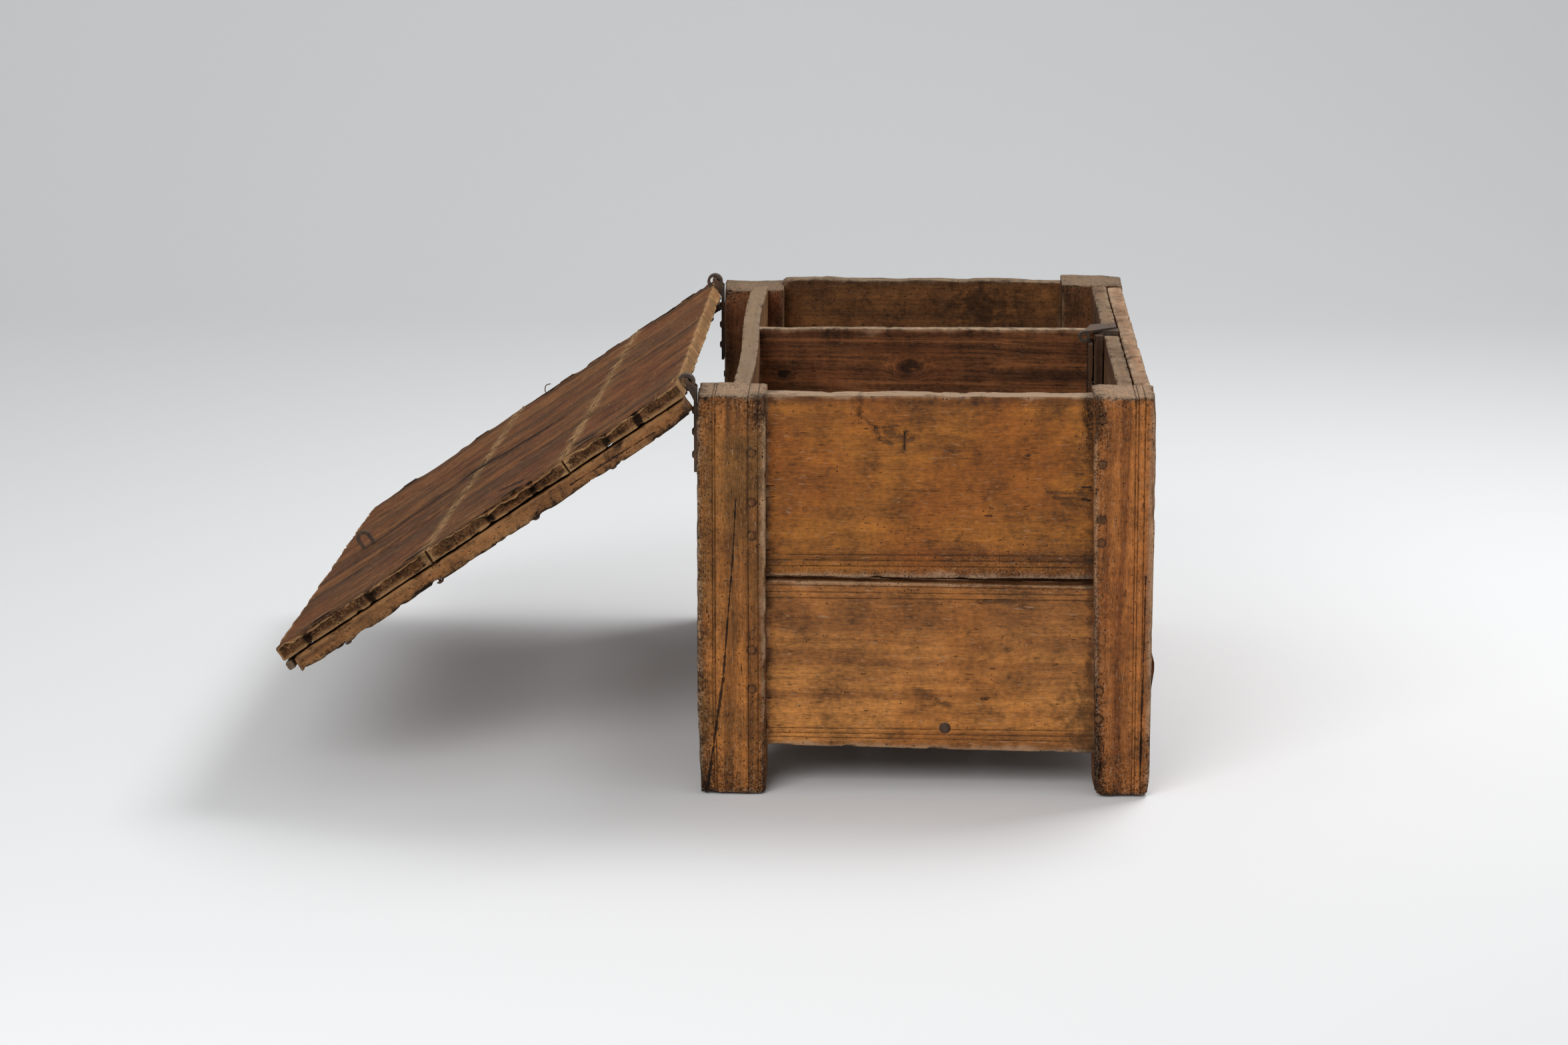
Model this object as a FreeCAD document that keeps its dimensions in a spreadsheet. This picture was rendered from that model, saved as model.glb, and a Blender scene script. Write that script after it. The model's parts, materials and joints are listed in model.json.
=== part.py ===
import FreeCAD, Part
import math
import os
import re
import Sketcher
from FreeCAD import Placement, Rotation, Vector

# A cassone: four corner posts carry grooved boards, and the lid hangs open behind the chest.
# Every piece is drawn where it stands in the closed chest: X runs from back to front, Y from the
# near end to the far end, Z up from the floor, and the middle of the footprint is at X = Y = 0.
# At the end each piece gets its Placement in the part's frame, the lid's pieces turned open.

SIZES = {
    # Carcass, over the posts
    "chest_width": 600,
    "chest_length": 1000,
    "post_height": 542,
    "post_width": 92,
    "post_depth": 97,
    "post_edge_round": 4,
    "far_back_post_wear": 10,
    "near_front_post_top_width": 83,
    "near_front_post_foot_width": 75,
    # Boards of the ends, the back and the two-layer front
    "end_board_setback": 20,
    "end_board_thickness": 29,
    "end_board_drop": 2,
    "back_board_setback": 43,
    "back_board_thickness": 25,
    "side_board_drop": 4,
    "front_setback": 2.5,
    "front_layer_thickness": 22.5,
    "front_layer_gap": 0.5,
    "board_bottom": 60,
    "lower_board_height": 232,
    "board_gap": 2,
    "tongue_depth": 28,
    "groove_end_gap": 1,
    # Wooden pegs through the posts and the tongues
    "peg_radius": 4.5,
    "peg_inset": 19,
    "near_front_peg_shift": 3,
    "peg_run": 8,
    # Moulding along the foot of the front
    "moulding_bottom": 84,
    "moulding_height": 88,
    "moulding_depth": 10.5,
    # Floor, its cleats and the divider
    "cleat_height": 20,
    "cleat_width": 22,
    "floor_thickness": 18,
    "floor_gap": 1.5,
    "divider_place": 37,
    "divider_thickness": 16,
    "divider_housing": 5,
    "divider_drop": 6,
    # Loop hinges
    "hinge_inset": 50,
    "hinge_offset": 14,
    "near_hinge_rise": 10,
    "far_hinge_rise": -4,
    "hinge_pin_radius": 3.2,
    "ring_bore_radius": 7.5,
    "ring_width": 14,
    "ring_play": 0.5,
    "knuckle_gap": 1,
    "knuckle_width": 5,
    "knuckle_fall": 10,
    "knuckle_depth": 16,
    "hinge_plate_thickness": 4,
    "hinge_plate_height": 106,
    "lid_strap_thickness": 4,
    "lid_strap_length": 112,
    # Lid: three boards, two battens, a front nosing and a staple
    "lid_open_angle": 214,
    "lid_seat_gap": 0.3,
    "lid_thickness": 22,
    "lid_front_overhang": 32,
    "lid_back_margin": 3,
    "lid_overhang": 20,
    "front_lid_board_shortfall": 14,
    "lid_joint_gap": 0.8,
    "back_lid_board_near_width": 184,
    "back_lid_board_far_width": 148,
    "middle_lid_board_near_width": 218,
    "middle_lid_board_far_width": 216,
    "lid_notch_play": 1.2,
    "lid_notch_side_play": 5,
    "dowel_radius": 5,
    "dowel_length": 50,
    "batten_width": 52,
    "batten_thickness": 26,
    "batten_stop_gap": 0.3,
    "clench_length": 22,
    "clench_width": 3,
    "clench_thickness": 1.5,
    "nail_cover": 3,
    "nosing_width": 12,
    "nosing_thickness": 14,
    "nosing_round": 5,
    "staple_place": -3,
    "staple_inset": 8,
    "staple_stock": 5,
    "staple_outer_width": 22,
    "staple_hang": 22,
    # Lock behind the front board
    "mortise_near_room": 8,
    "mortise_length": 41,
    "mortise_depth": 68,
    "lock_cheek_thickness": 8,
    "lock_cheek_width": 14,
    "lock_cheek_drop": 5,
    "lock_case_height": 97,
    "lock_cover_thickness": 8,
    "lock_cover_drop": 18,
    "lock_base_thickness": 8,
    "lock_body_room": 11,
    "lock_body_play": 0.5,
    "lock_body_reach": 12,
    "bolt_stock": 7,
    "bolt_play": 0.1,
    "bolt_drop": 11,
    "bolt_length": 25,
    "bolt_rest_room": 7,
    "lock_plate_thickness": 3,
    "lock_plate_reach": 27,
    "lock_plate_knee": 11,
    "lock_plate_margin": 3,
    "lock_plate_near_slant": 36,
    "lock_plate_far_slant": 18,
    "lock_plate_length": 50,
    "lock_eye_radius": 8,
    "lock_eye_bore_radius": 4.5,
    "lock_eye_width": 10,
    "lock_eye_drop": 9.5,
    "lock_plate_nail_away": 4.8,
    "lock_plate_nail_spacing": 9.6,
    "key_plate_width": 32,
    "key_plate_height": 48,
    "key_plate_thickness": 2,
    "key_place": 18,
    "key_drop": 42,
    "keyhole_radius": 4,
    "keyhole_slot_width": 4,
    "keyhole_slot_length": 12,
    # Nails, by kind
    "strap_nail_radius": 2.2,
    "strap_nail_length": 24,
    "strap_nail_head_radius": 6.5,
    "strap_nail_head_height": 3,
    "floor_nail_place": 28,
    "floor_nail_radius": 2.5,
    "floor_nail_length": 60,
    "floor_nail_head_radius": 7.5,
    "floor_nail_head_height": 3.5,
    "board_nail_radius": 2,
    "board_nail_length": 40,
    "board_nail_head_radius": 5,
    "board_nail_head_height": 2.4,
    "batten_nail_radius": 1.7,
    "batten_nail_head_radius": 6,
    "batten_nail_head_height": 3,
    "small_nail_radius": 1.2,
    "small_nail_length": 18,
    "small_nail_head_radius": 3,
    "small_nail_head_height": 0.8,
    "cut_overrun": 5,
}

# Places along a run, as shares of its length
LOWER_PEG_SHARES = (0.37, 0.60)
UPPER_PEG_SHARES = (0.24, 0.42, 0.69)
NEAR_FRONT_LOWER_PEG_SHARES = (0.205, 0.37)
NEAR_FRONT_UPPER_PEG_SHARES = (0.21, 0.338, 0.637, 0.876)
DOWEL_SHARES = (0.17, 0.50, 0.83)
NEAR_BATTEN_NAIL_SHARES = (0.207, 0.403, 0.649, 0.886)
FAR_BATTEN_NAIL_SHARES = (0.043, 0.167, 0.269, 0.408, 0.666, 0.886)
HINGE_NAIL_SHARES = (0.76, 0.49, 0.20)
LID_STRAP_NAIL_SHARES = (0.36, 0.63, 0.90)
NOSING_NAIL_SHARES = (0.08, 0.25, 0.42, 0.58, 0.75, 0.92)
FRONT_NAIL_SHARES = (0.10, 0.36, 0.64, 0.90)
MOULDING_NAIL_SHARES = (0.06, 0.35, 0.65, 0.94)
FLOOR_NAIL_SHARES = (0.2, 0.5, 0.8)
KEY_PLATE_NAIL_SHARES = (-0.38, 0.38)
# The moulding's outline, as shares of its depth and height
MOULDING_SHARES = ((0, 0), (0.28, 0), (0.62, 0.42), (1, 0.75), (1, 0.86), (0.66, 1), (0, 1))

SIDES = ("back", "front")
ENDS = ("near", "far")
FLOOR_BOARDS = ("back_floor_board", "middle_floor_board", "front_floor_board")

doc = FreeCAD.newDocument("Cassone")
sheet = doc.addObject("Spreadsheet::Sheet", "Sizes")
for row, (alias, value) in enumerate(SIZES.items(), start=1):
    sheet.set("A%d" % row, alias)
    sheet.set("B%d" % row, str(value))
    sheet.setAlias("B%d" % row, alias)
doc.recompute()

TURNS_OUTWARD = {
    "up": Rotation(),
    "down": Rotation(Vector(1, 0, 0), 180),
    "near": Rotation(Vector(1, 0, 0), 90),
    "far": Rotation(Vector(1, 0, 0), -90),
    "front": Rotation(Vector(0, 1, 0), 90),
    "back": Rotation(Vector(0, 1, 0), -90),
}


# Helpers

def size(alias):
    return float(sheet.get(alias))


def formula(text):
    def qualified(word):
        return "Sizes." + word.group() if word.group() in SIZES else word.group()
    return re.sub("[a-z_]+", qualified, text)


def bind(thing, target, text):
    thing.setExpression(target, formula(text))


def bind_base(thing, at):
    for axis, text in zip("xyz", at):
        bind(thing, "Placement.Base." + axis, text)


def plus(*terms):
    return " + ".join("(%s)" % term for term in terms)


def minus(first, second):
    return "(%s) - (%s)" % (first, second)


def block(name, x, y, z):
    box = doc.addObject("Part::Box", name)
    bind_base(box, (x[0], y[0], z[0]))
    bind(box, "Length", minus(x[1], x[0]))
    bind(box, "Width", minus(y[1], y[0]))
    bind(box, "Height", minus(z[1], z[0]))
    return box


def rod(name, radius, start, length, towards):
    cylinder = doc.addObject("Part::Cylinder", name)
    cylinder.Placement = Placement(Vector(), TURNS_OUTWARD[towards])
    bind_base(cylinder, start)
    bind(cylinder, "Radius", radius)
    bind(cylinder, "Height", length)
    return cylinder


def union(name, pieces):
    joined = doc.addObject("Part::MultiFuse", name)
    joined.Shapes = pieces
    return joined


def group(name, pieces):
    together = doc.addObject("Part::Compound", name)
    together.Links = pieces
    return together


def cut(name, base, tools):
    result = doc.addObject("Part::Cut", name)
    result.Base = base
    result.Tool = tools[0] if len(tools) == 1 else union(name + "_tools", tools)
    return result


def drawn(name, plane_role, corners, low, high):
    """A body padded from an outline of straight runs between the planes low and high."""
    body = doc.addObject("PartDesign::Body", name)
    outline = body.newObject("Sketcher::SketchObject", name + "_outline")
    plane = [item for item in body.Origin.OriginFeatures if item.Role == plane_role][0]
    outline.AttachmentSupport = [(plane, "")]
    outline.MapMode = "FlatFace"
    count = len(corners)
    start_points = [Vector(math.cos(2 * math.pi * i / count), math.sin(2 * math.pi * i / count), 0)
                    for i in range(count)]
    for i in range(count):
        outline.addGeometry(Part.LineSegment(start_points[i], start_points[(i + 1) % count]), False)
    for i in range(count):
        outline.addConstraint(Sketcher.Constraint("Coincident", i, 2, (i + 1) % count, 1))
    for i, (across, along) in enumerate(corners):
        for kind, text in (("DistanceX", across), ("DistanceY", along)):
            index = outline.addConstraint(Sketcher.Constraint(kind, -1, 1, i, 1, 1.0))
            bind(outline, "Constraints[%d]" % index, text)
    pad = body.newObject("PartDesign::Pad", name + "_pad")
    pad.Profile = outline
    bind(pad, "Length", minus(high, low))
    if plane_role == "XZ_Plane":
        pad.Reversed = True
        bind(outline, "AttachmentOffset.Base.z", "-(%s)" % low)
    else:
        bind(outline, "AttachmentOffset.Base.z", low)
    return body


def rounded(body, radius, chosen):
    """Rounds the edges of the body's last feature that chosen accepts."""
    doc.recompute()
    base = body.Tip
    names = ["Edge%d" % (i + 1) for i, edge in enumerate(base.Shape.Edges) if chosen(edge)]
    fillet = body.newObject("PartDesign::Fillet", body.Name + "_round")
    fillet.Base = (base, names)
    bind(fillet, "Radius", radius)
    return body


def rectangle(x, y):
    return [(x[0], y[0]), (x[1], y[0]), (x[1], y[1]), (x[0], y[1])]


def nail(name, kind, at, outward, length=None):
    """A nail with a low domed head; at is where its head bears."""
    shank = rod(name + "_shank", kind + "_radius", ("0", "0", "-(%s)" % (length or kind + "_length")),
                length or kind + "_length", "up")
    head = doc.addObject("Part::Cone", name + "_head")
    bind(head, "Radius1", kind + "_head_radius")
    bind(head, "Radius2", kind + "_head_radius / 2")
    bind(head, "Height", kind + "_head_height")
    whole = doc.addObject("Part::Fuse", name)
    whole.Base = shank
    whole.Tool = head
    whole.Placement = Placement(Vector(), TURNS_OUTWARD[outward])
    bind_base(whole, at)
    return whole


# Places that several pieces share

def from_side(side, near_face, far_face):
    """X span between two depths measured inwards from the back or the front of the posts."""
    if side == "back":
        return (plus("-chest_width / 2", near_face), plus("-chest_width / 2", far_face))
    return (minus("chest_width / 2", far_face), minus("chest_width / 2", near_face))


def from_end(end, near_face, far_face):
    """Y span between two depths measured inwards from the near or the far end of the posts."""
    if end == "near":
        return (plus("-chest_length / 2", near_face), plus("-chest_length / 2", far_face))
    return (minus("chest_length / 2", far_face), minus("chest_length / 2", near_face))


def at_share(span, share):
    return "(%s) + ((%s) - (%s)) * %s" % (span[0], span[1], span[0], share)


BETWEEN_POSTS_X = ("-chest_width / 2 + post_width", "chest_width / 2 - post_width")
BETWEEN_POSTS_Y = ("-chest_length / 2 + post_depth", "chest_length / 2 - post_depth")
TONGUES_X = (minus(BETWEEN_POSTS_X[0], "tongue_depth"), plus(BETWEEN_POSTS_X[1], "tongue_depth"))
TONGUES_Y = (minus(BETWEEN_POSTS_Y[0], "tongue_depth"), plus(BETWEEN_POSTS_Y[1], "tongue_depth"))
END_BOARD_FACES = ("end_board_setback", "end_board_setback + end_board_thickness")
BACK_BOARD_X = from_side("back", "back_board_setback", "back_board_setback + back_board_thickness")
FRONT_OUTER_X = from_side("front", "front_setback", "front_setback + front_layer_thickness")
FRONT_INNER_X = from_side("front", "front_setback + front_layer_thickness + front_layer_gap",
                          "front_setback + 2 * front_layer_thickness + front_layer_gap")
INSIDE_X = (BACK_BOARD_X[1], FRONT_INNER_X[0])
INSIDE_Y = (from_end("near", *END_BOARD_FACES)[1], from_end("far", *END_BOARD_FACES)[0])
GROOVE_DEPTH = "tongue_depth + groove_end_gap"
LOWER_TOP = "board_bottom + lower_board_height"
UPPER_BOTTOM = "board_bottom + lower_board_height + board_gap"
FLOOR_BOTTOM = "board_bottom + cleat_height"
FLOOR_TOP = "board_bottom + cleat_height + floor_thickness"
SIDE_TOP = "post_height - side_board_drop"
DIVIDER_Y = ("divider_place", "divider_place + divider_thickness")


def row_heights(row, drop):
    if row == "lower":
        return ("board_bottom", LOWER_TOP)
    return (UPPER_BOTTOM, minus("post_height", drop))


def peg_heights(lower_shares=LOWER_PEG_SHARES, upper_shares=UPPER_PEG_SHARES):
    lower = [at_share(row_heights("lower", "0"), share) for share in lower_shares]
    upper = [at_share(row_heights("upper", "end_board_drop"), share) for share in upper_shares]
    return lower + upper


# Hinge line

HINGE_X = "-chest_width / 2 - hinge_offset"
OPEN_SINE = "sin(lid_open_angle * 1deg)"
OPEN_COSINE = "cos(lid_open_angle * 1deg)"


def hinge_y(end):
    return from_end(end, "hinge_inset", "hinge_inset")[0]


def hinge_z_at(y):
    """Height of the hinge line at a place along the chest: its far end stands lower."""
    rise = "near_hinge_rise + (far_hinge_rise - near_hinge_rise)"
    from_near_hinge = "((%s) + chest_length / 2 - hinge_inset)" % y
    return "post_height + %s * %s / (chest_length - 2 * hinge_inset)" % (rise, from_near_hinge)


# The lid's ring hangs on the pin: its middle lies below the pin when the lid is open.
RING_HANG = "(ring_bore_radius - hinge_pin_radius - ring_play)"
RING_RADIUS = "ring_bore_radius + lid_strap_thickness"
RING_X = minus(HINGE_X, RING_HANG + " * " + OPEN_SINE)


def ring_z(end):
    return minus(hinge_z_at(hinge_y(end)), RING_HANG + " * " + OPEN_COSINE)


# Lid, drawn closed

LID_BOTTOM = "post_height + lid_seat_gap"
LID_TOP = "post_height + lid_seat_gap + lid_thickness"
LID_BACK = plus(HINGE_X, "lid_back_margin")
LID_FRONT = "chest_width / 2 + lid_front_overhang"
LID_NEAR = "-chest_length / 2 - lid_overhang"
LID_FAR = "chest_length / 2 + lid_overhang"
FIRST_JOINT_X = (plus(LID_BACK, "back_lid_board_near_width"), plus(LID_BACK, "back_lid_board_far_width"))
SECOND_JOINT_X = (plus(FIRST_JOINT_X[0], "middle_lid_board_near_width"),
                  plus(FIRST_JOINT_X[1], "middle_lid_board_far_width"))

# Lock and staple

STAPLE_X = plus(FRONT_INNER_X[0], "staple_inset")
MORTISE_Y = (minus("staple_place", "mortise_near_room"),
             "staple_place - mortise_near_room + mortise_length")
PLATE_Z = (SIDE_TOP, plus(SIDE_TOP, "lock_plate_thickness"))
BOLT_Z = plus("post_height", "-bolt_drop")
KEY_Y = "staple_place + key_place"
KEY_Z = "post_height - key_drop"


# Pegs and nails come first, because the boards are cut to take them

def end_pegs(end):
    pegs = []
    start = from_end(end, "0", "0")[0]
    inward = "far" if end == "near" else "near"
    for side in SIDES:
        across = from_side(side, "post_width - peg_inset", "post_width - peg_inset")[0]
        heights = peg_heights()
        if (side, end) == ("front", "near"):
            across = plus(across, "near_front_peg_shift")
            heights = peg_heights(NEAR_FRONT_LOWER_PEG_SHARES, NEAR_FRONT_UPPER_PEG_SHARES)
        for height in heights:
            name = "%s_end_peg_%d" % (end, len(pegs) + 1)
            length = "end_board_setback + end_board_thickness + peg_run"
            pegs.append(rod(name, "peg_radius", (across, start, height), length, inward))
    return group("%s_end_pegs_group" % end, pegs)


def side_pegs(side):
    pegs = []
    start = from_side(side, "0", "0")[0]
    inward = "front" if side == "back" else "back"
    depth = "back_board_setback + back_board_thickness + peg_run"
    if side == "front":
        depth = "front_setback + 2 * front_layer_thickness + front_layer_gap + peg_run"
    for end in ENDS:
        along = from_end(end, "post_depth - peg_inset", "post_depth - peg_inset")[0]
        for height in peg_heights():
            name = "%s_board_peg_%d" % (side, len(pegs) + 1)
            pegs.append(rod(name, "peg_radius", (start, along, height), depth, inward))
    return group("%s_board_pegs_group" % side, pegs)


def floor_nails():
    height = FLOOR_BOTTOM + " + floor_thickness / 2"
    nails = []
    for end in ENDS:
        face = from_end(end, "end_board_setback", "end_board_setback")[0]
        nails.append(nail("%s_floor_nail" % end, "floor_nail", ("floor_nail_place", face, height), end))
    for i, share in enumerate(FLOOR_NAIL_SHARES):
        place = (BACK_BOARD_X[0], at_share(BETWEEN_POSTS_Y, share), height)
        nails.append(nail("back_floor_nail_%d" % (i + 1), "floor_nail", place, "back"))
    return group("floor_nails_group", nails)


def front_nails():
    nails = []
    for row, share_up in (("lower", 0.7), ("upper", 0.5)):
        height = at_share(row_heights(row, "side_board_drop"), share_up)
        for i, share in enumerate(FRONT_NAIL_SHARES):
            place = (FRONT_OUTER_X[1], at_share(BETWEEN_POSTS_Y, share), height)
            nails.append(nail("%s_front_nail_%d" % (row, i + 1), "board_nail", place, "front"))
    return group("front_nails_group", nails)


def moulding_nails():
    height = "moulding_bottom + moulding_height * 0.8"
    nails = []
    for i, share in enumerate(MOULDING_NAIL_SHARES):
        place = (plus(FRONT_OUTER_X[1], "moulding_depth"), at_share(BETWEEN_POSTS_Y, share), height)
        nails.append(nail("moulding_nail_%d" % (i + 1), "small_nail", place, "front",
                          "moulding_depth + small_nail_length"))
    return group("moulding_nails_group", nails)


def hinge_nails():
    nails = []
    face = minus("-chest_width / 2", "hinge_plate_thickness")
    for end in ENDS:
        top = hinge_z_at(hinge_y(end)) + " - knuckle_depth"
        for i, share in enumerate(HINGE_NAIL_SHARES):
            place = (face, hinge_y(end), at_share((top + " - hinge_plate_height", top), share))
            nails.append(nail("%s_hinge_nail_%d" % (end, i + 1), "strap_nail", place, "back"))
    return group("hinge_nails_group", nails)


def lid_strap_nails():
    nails = []
    for end in ENDS:
        for i, share in enumerate(LID_STRAP_NAIL_SHARES):
            place = (plus(RING_X, "lid_strap_length * %s" % share), hinge_y(end),
                     plus(LID_TOP, "lid_strap_thickness"))
            nails.append(nail("%s_lid_strap_nail_%d" % (end, i + 1), "strap_nail", place, "up",
                              "lid_strap_thickness + lid_thickness - nail_cover"))
    return group("lid_strap_nails_group", nails)


def batten_span_y(end):
    return from_end(end, "-lid_overhang", "batten_width - lid_overhang")


def batten_back(end):
    """The batten's back end, cut so that it bears on the posts when the lid is open."""
    contact_y = batten_span_y(end)[1]
    reach = "(%s + batten_thickness - (%s))" % (LID_TOP, hinge_z_at(contact_y))
    return "%s + (hinge_offset - batten_stop_gap + %s * %s) / %s" % (HINGE_X, reach, OPEN_SINE, OPEN_COSINE)


def batten_span_x(end):
    return (batten_back(end), minus(LID_FRONT, "nosing_width"))


def batten_nails():
    """Nails driven through batten and board, their points turned over into the inner face."""
    nails = []
    for end, shares in (("near", NEAR_BATTEN_NAIL_SHARES), ("far", FAR_BATTEN_NAIL_SHARES)):
        middle_y = at_share(batten_span_y(end), 0.5)
        for i, share in enumerate(shares):
            name = "%s_batten_nail_%d" % (end, i + 1)
            across = at_share(batten_span_x(end), share)
            head = (across, middle_y, plus(LID_TOP, "batten_thickness"))
            shaft = nail(name + "_shaft", "batten_nail", head, "up", "batten_thickness + lid_thickness")
            point = block(name + "_point", (across, plus(across, "clench_length")),
                          (minus(middle_y, "clench_width / 2"), plus(middle_y, "clench_width / 2")),
                          (LID_BOTTOM, plus(LID_BOTTOM, "clench_thickness")))
            nails.append(union(name, [shaft, point]))
    return group("batten_nails_group", nails)


def nosing_nails():
    nails = []
    for i, share in enumerate(NOSING_NAIL_SHARES):
        place = (minus(LID_FRONT, "nosing_width / 2"), at_share((LID_NEAR, LID_FAR), share),
                 plus(LID_TOP, "nosing_thickness"))
        nails.append(nail("nosing_nail_%d" % (i + 1), "small_nail", place, "up",
                          "nosing_thickness + small_nail_length"))
    return group("nosing_nails_group", nails)


def lid_dowels():
    dowels = []
    height = LID_BOTTOM + " + lid_thickness / 2"
    for joint, edge in (("first", FIRST_JOINT_X), ("second", SECOND_JOINT_X)):
        for i, share in enumerate(DOWEL_SHARES):
            name = "%s_joint_dowel_%d" % (joint, i + 1)
            across = minus(at_share(edge, share), "dowel_length / 2")
            start = (across, at_share((LID_NEAR, LID_FAR), share), height)
            dowels.append(rod(name, "dowel_radius", start, "dowel_length", "front"))
    return group("lid_dowels_group", dowels)


def lock_nails():
    nails = []
    for i, away in enumerate(("lock_plate_nail_away", "lock_plate_nail_away + lock_plate_nail_spacing")):
        place = (plus(FRONT_INNER_X[0], "staple_inset + bolt_stock / 3"),
                 plus(MORTISE_Y[1], away), PLATE_Z[1])
        nails.append(nail("lock_plate_nail_%d" % (i + 1), "small_nail", place, "up"))
    for i, share_y in enumerate(KEY_PLATE_NAIL_SHARES):
        for j, share_z in enumerate(KEY_PLATE_NAIL_SHARES):
            place = (plus(FRONT_OUTER_X[1], "key_plate_thickness"),
                     plus(KEY_Y, "key_plate_width * %s" % share_y),
                     plus(KEY_Z, "key_plate_height * %s" % share_z))
            nails.append(nail("key_plate_nail_%d_%d" % (i + 1, j + 1), "small_nail", place, "front"))
    for i, share in enumerate((0.25, 0.7)):
        place = (minus(FRONT_INNER_X[0], "lock_cheek_width + lock_cover_thickness"),
                 minus(MORTISE_Y[0], "lock_cheek_thickness / 2"),
                 "post_height - lock_cover_drop - (lock_case_height - lock_cover_drop) * %s" % share)
        nails.append(nail("lock_cover_nail_%d" % (i + 1), "small_nail", place, "back"))
    return group("lock_nails_group", nails)


# Carcass pieces

def post_block(side, end):
    """A post before its grooves; the near front one narrows towards its foot."""
    name = "%s_%s_post_stock" % (end, side)
    y = from_end(end, "0", "post_depth")
    if (side, end) == ("front", "near"):
        outer = "chest_width / 2"
        corners = [(minus(outer, "near_front_post_foot_width"), "0"), (outer, "0"), (outer, "post_height"),
                   (minus(outer, "near_front_post_top_width"), "post_height")]
        body = drawn(name, "XZ_Plane", corners, *y)
    else:
        top = "post_height - far_back_post_wear" if (side, end) == ("back", "far") else "post_height"
        body = drawn(name, "XY_Plane", rectangle(from_side(side, "0", "post_width"), y), "0", top)

    def upright(edge):
        first, last = edge.Vertexes[0].Point, edge.Vertexes[-1].Point
        return abs(first.z - last.z) > abs(first.x - last.x) + abs(first.y - last.y)
    return rounded(body, "post_edge_round", upright)


def post(side, end, stock, fixings):
    groove_z = ("board_bottom", "post_height + cut_overrun")
    end_groove = block("%s_%s_end_groove" % (end, side),
                       from_side(side, minus("post_width", GROOVE_DEPTH), "post_width + cut_overrun"),
                       from_end(end, *END_BOARD_FACES), groove_z)
    side_groove = block("%s_%s_side_groove" % (end, side),
                        BACK_BOARD_X if side == "back" else FRONT_INNER_X,
                        from_end(end, minus("post_depth", GROOVE_DEPTH), "post_depth + cut_overrun"),
                        groove_z)
    return cut("%s_%s_post" % (end, side), stock, [end_groove, side_groove] + fixings)


def end_board(end, row, tools):
    stock = block("%s_end_%s_stock" % (end, row), TONGUES_X, from_end(end, *END_BOARD_FACES),
                  row_heights(row, "end_board_drop"))
    return cut("%s_end_%s_board" % (end, row), stock, tools)


def back_board(row, tools):
    stock = block("back_%s_stock" % row, BACK_BOARD_X, TONGUES_Y, row_heights(row, "side_board_drop"))
    return cut("back_%s_board" % row, stock, tools)


def front_inner_board(row, tools):
    stock = block("front_inner_%s_stock" % row, FRONT_INNER_X, TONGUES_Y,
                  row_heights(row, "side_board_drop"))
    return cut("front_inner_%s_board" % row, stock, tools)


def front_outer_board(row, tools):
    stock = block("front_outer_%s_stock" % row, FRONT_OUTER_X, BETWEEN_POSTS_Y,
                  row_heights(row, "side_board_drop"))
    return cut("front_outer_%s_board" % row, stock, tools)


def front_moulding(tools):
    corners = [(plus(FRONT_OUTER_X[1], "moulding_depth * %s" % out),
                "moulding_bottom + moulding_height * %s" % up)
               for out, up in MOULDING_SHARES]
    stock = drawn("front_moulding_stock", "XZ_Plane", corners, *BETWEEN_POSTS_Y)
    return cut("front_moulding", stock, tools)


def floor_board(index, name, posts, nails):
    count = len(FLOOR_BOARDS)
    low = at_share(INSIDE_X, "%d / %d" % (index, count))
    high = at_share(INSIDE_X, "%d / %d" % (index + 1, count))
    if index + 1 < count:
        high = minus(high, "floor_gap")
    stock = block(name + "_stock", (low, high), INSIDE_Y, (FLOOR_BOTTOM, FLOOR_TOP))
    return cut(name, stock, posts + [nails])


def floor_cleat(end):
    low = "end_board_setback + end_board_thickness"
    return group("%s_floor_cleat" % end, [
        block("%s_floor_cleat_stock" % end, BETWEEN_POSTS_X, from_end(end, low, low + " + cleat_width"),
              ("board_bottom", FLOOR_BOTTOM))])


def middle_cleat():
    middle = "divider_place + divider_thickness / 2"
    span = (middle + " - cleat_width / 2", middle + " + cleat_width / 2")
    return group("middle_floor_cleat", [
        block("middle_floor_cleat_stock", INSIDE_X, span, ("board_bottom", FLOOR_BOTTOM))])


def divider():
    reach = (minus(INSIDE_X[0], "divider_housing"), plus(INSIDE_X[1], "divider_housing"))
    housing = block("divider_housing_cut", reach, DIVIDER_Y, (FLOOR_TOP, "post_height + cut_overrun"))
    stock = block("divider_stock", reach, DIVIDER_Y, (FLOOR_TOP, "post_height - divider_drop"))
    return group("divider_board", [stock]), housing


# Lock pieces

def lock_mortise():
    return block("lock_mortise", (minus(FRONT_INNER_X[0], "cut_overrun"), FRONT_INNER_X[1]), MORTISE_Y,
                 (minus(SIDE_TOP, "mortise_depth"), plus(SIDE_TOP, "cut_overrun")))


def lock_cheek(nails):
    stock = block("lock_cheek_stock", (minus(FRONT_INNER_X[0], "lock_cheek_width"), FRONT_INNER_X[0]),
                  (minus(MORTISE_Y[0], "lock_cheek_thickness"), MORTISE_Y[0]),
                  ("post_height - lock_cheek_drop - lock_case_height", "post_height - lock_cheek_drop"))
    return cut("lock_cheek", stock, [nails])


def lock_cover(nails):
    x = (minus(FRONT_INNER_X[0], "lock_cheek_width + lock_cover_thickness"),
         minus(FRONT_INNER_X[0], "lock_cheek_width"))
    stock = block("lock_cover_stock", x, (minus(MORTISE_Y[0], "lock_cheek_thickness"), DIVIDER_Y[0]),
                  ("post_height - lock_cheek_drop - lock_case_height", "post_height - lock_cover_drop"))
    return cut("lock_cover", stock, [nails])


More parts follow.
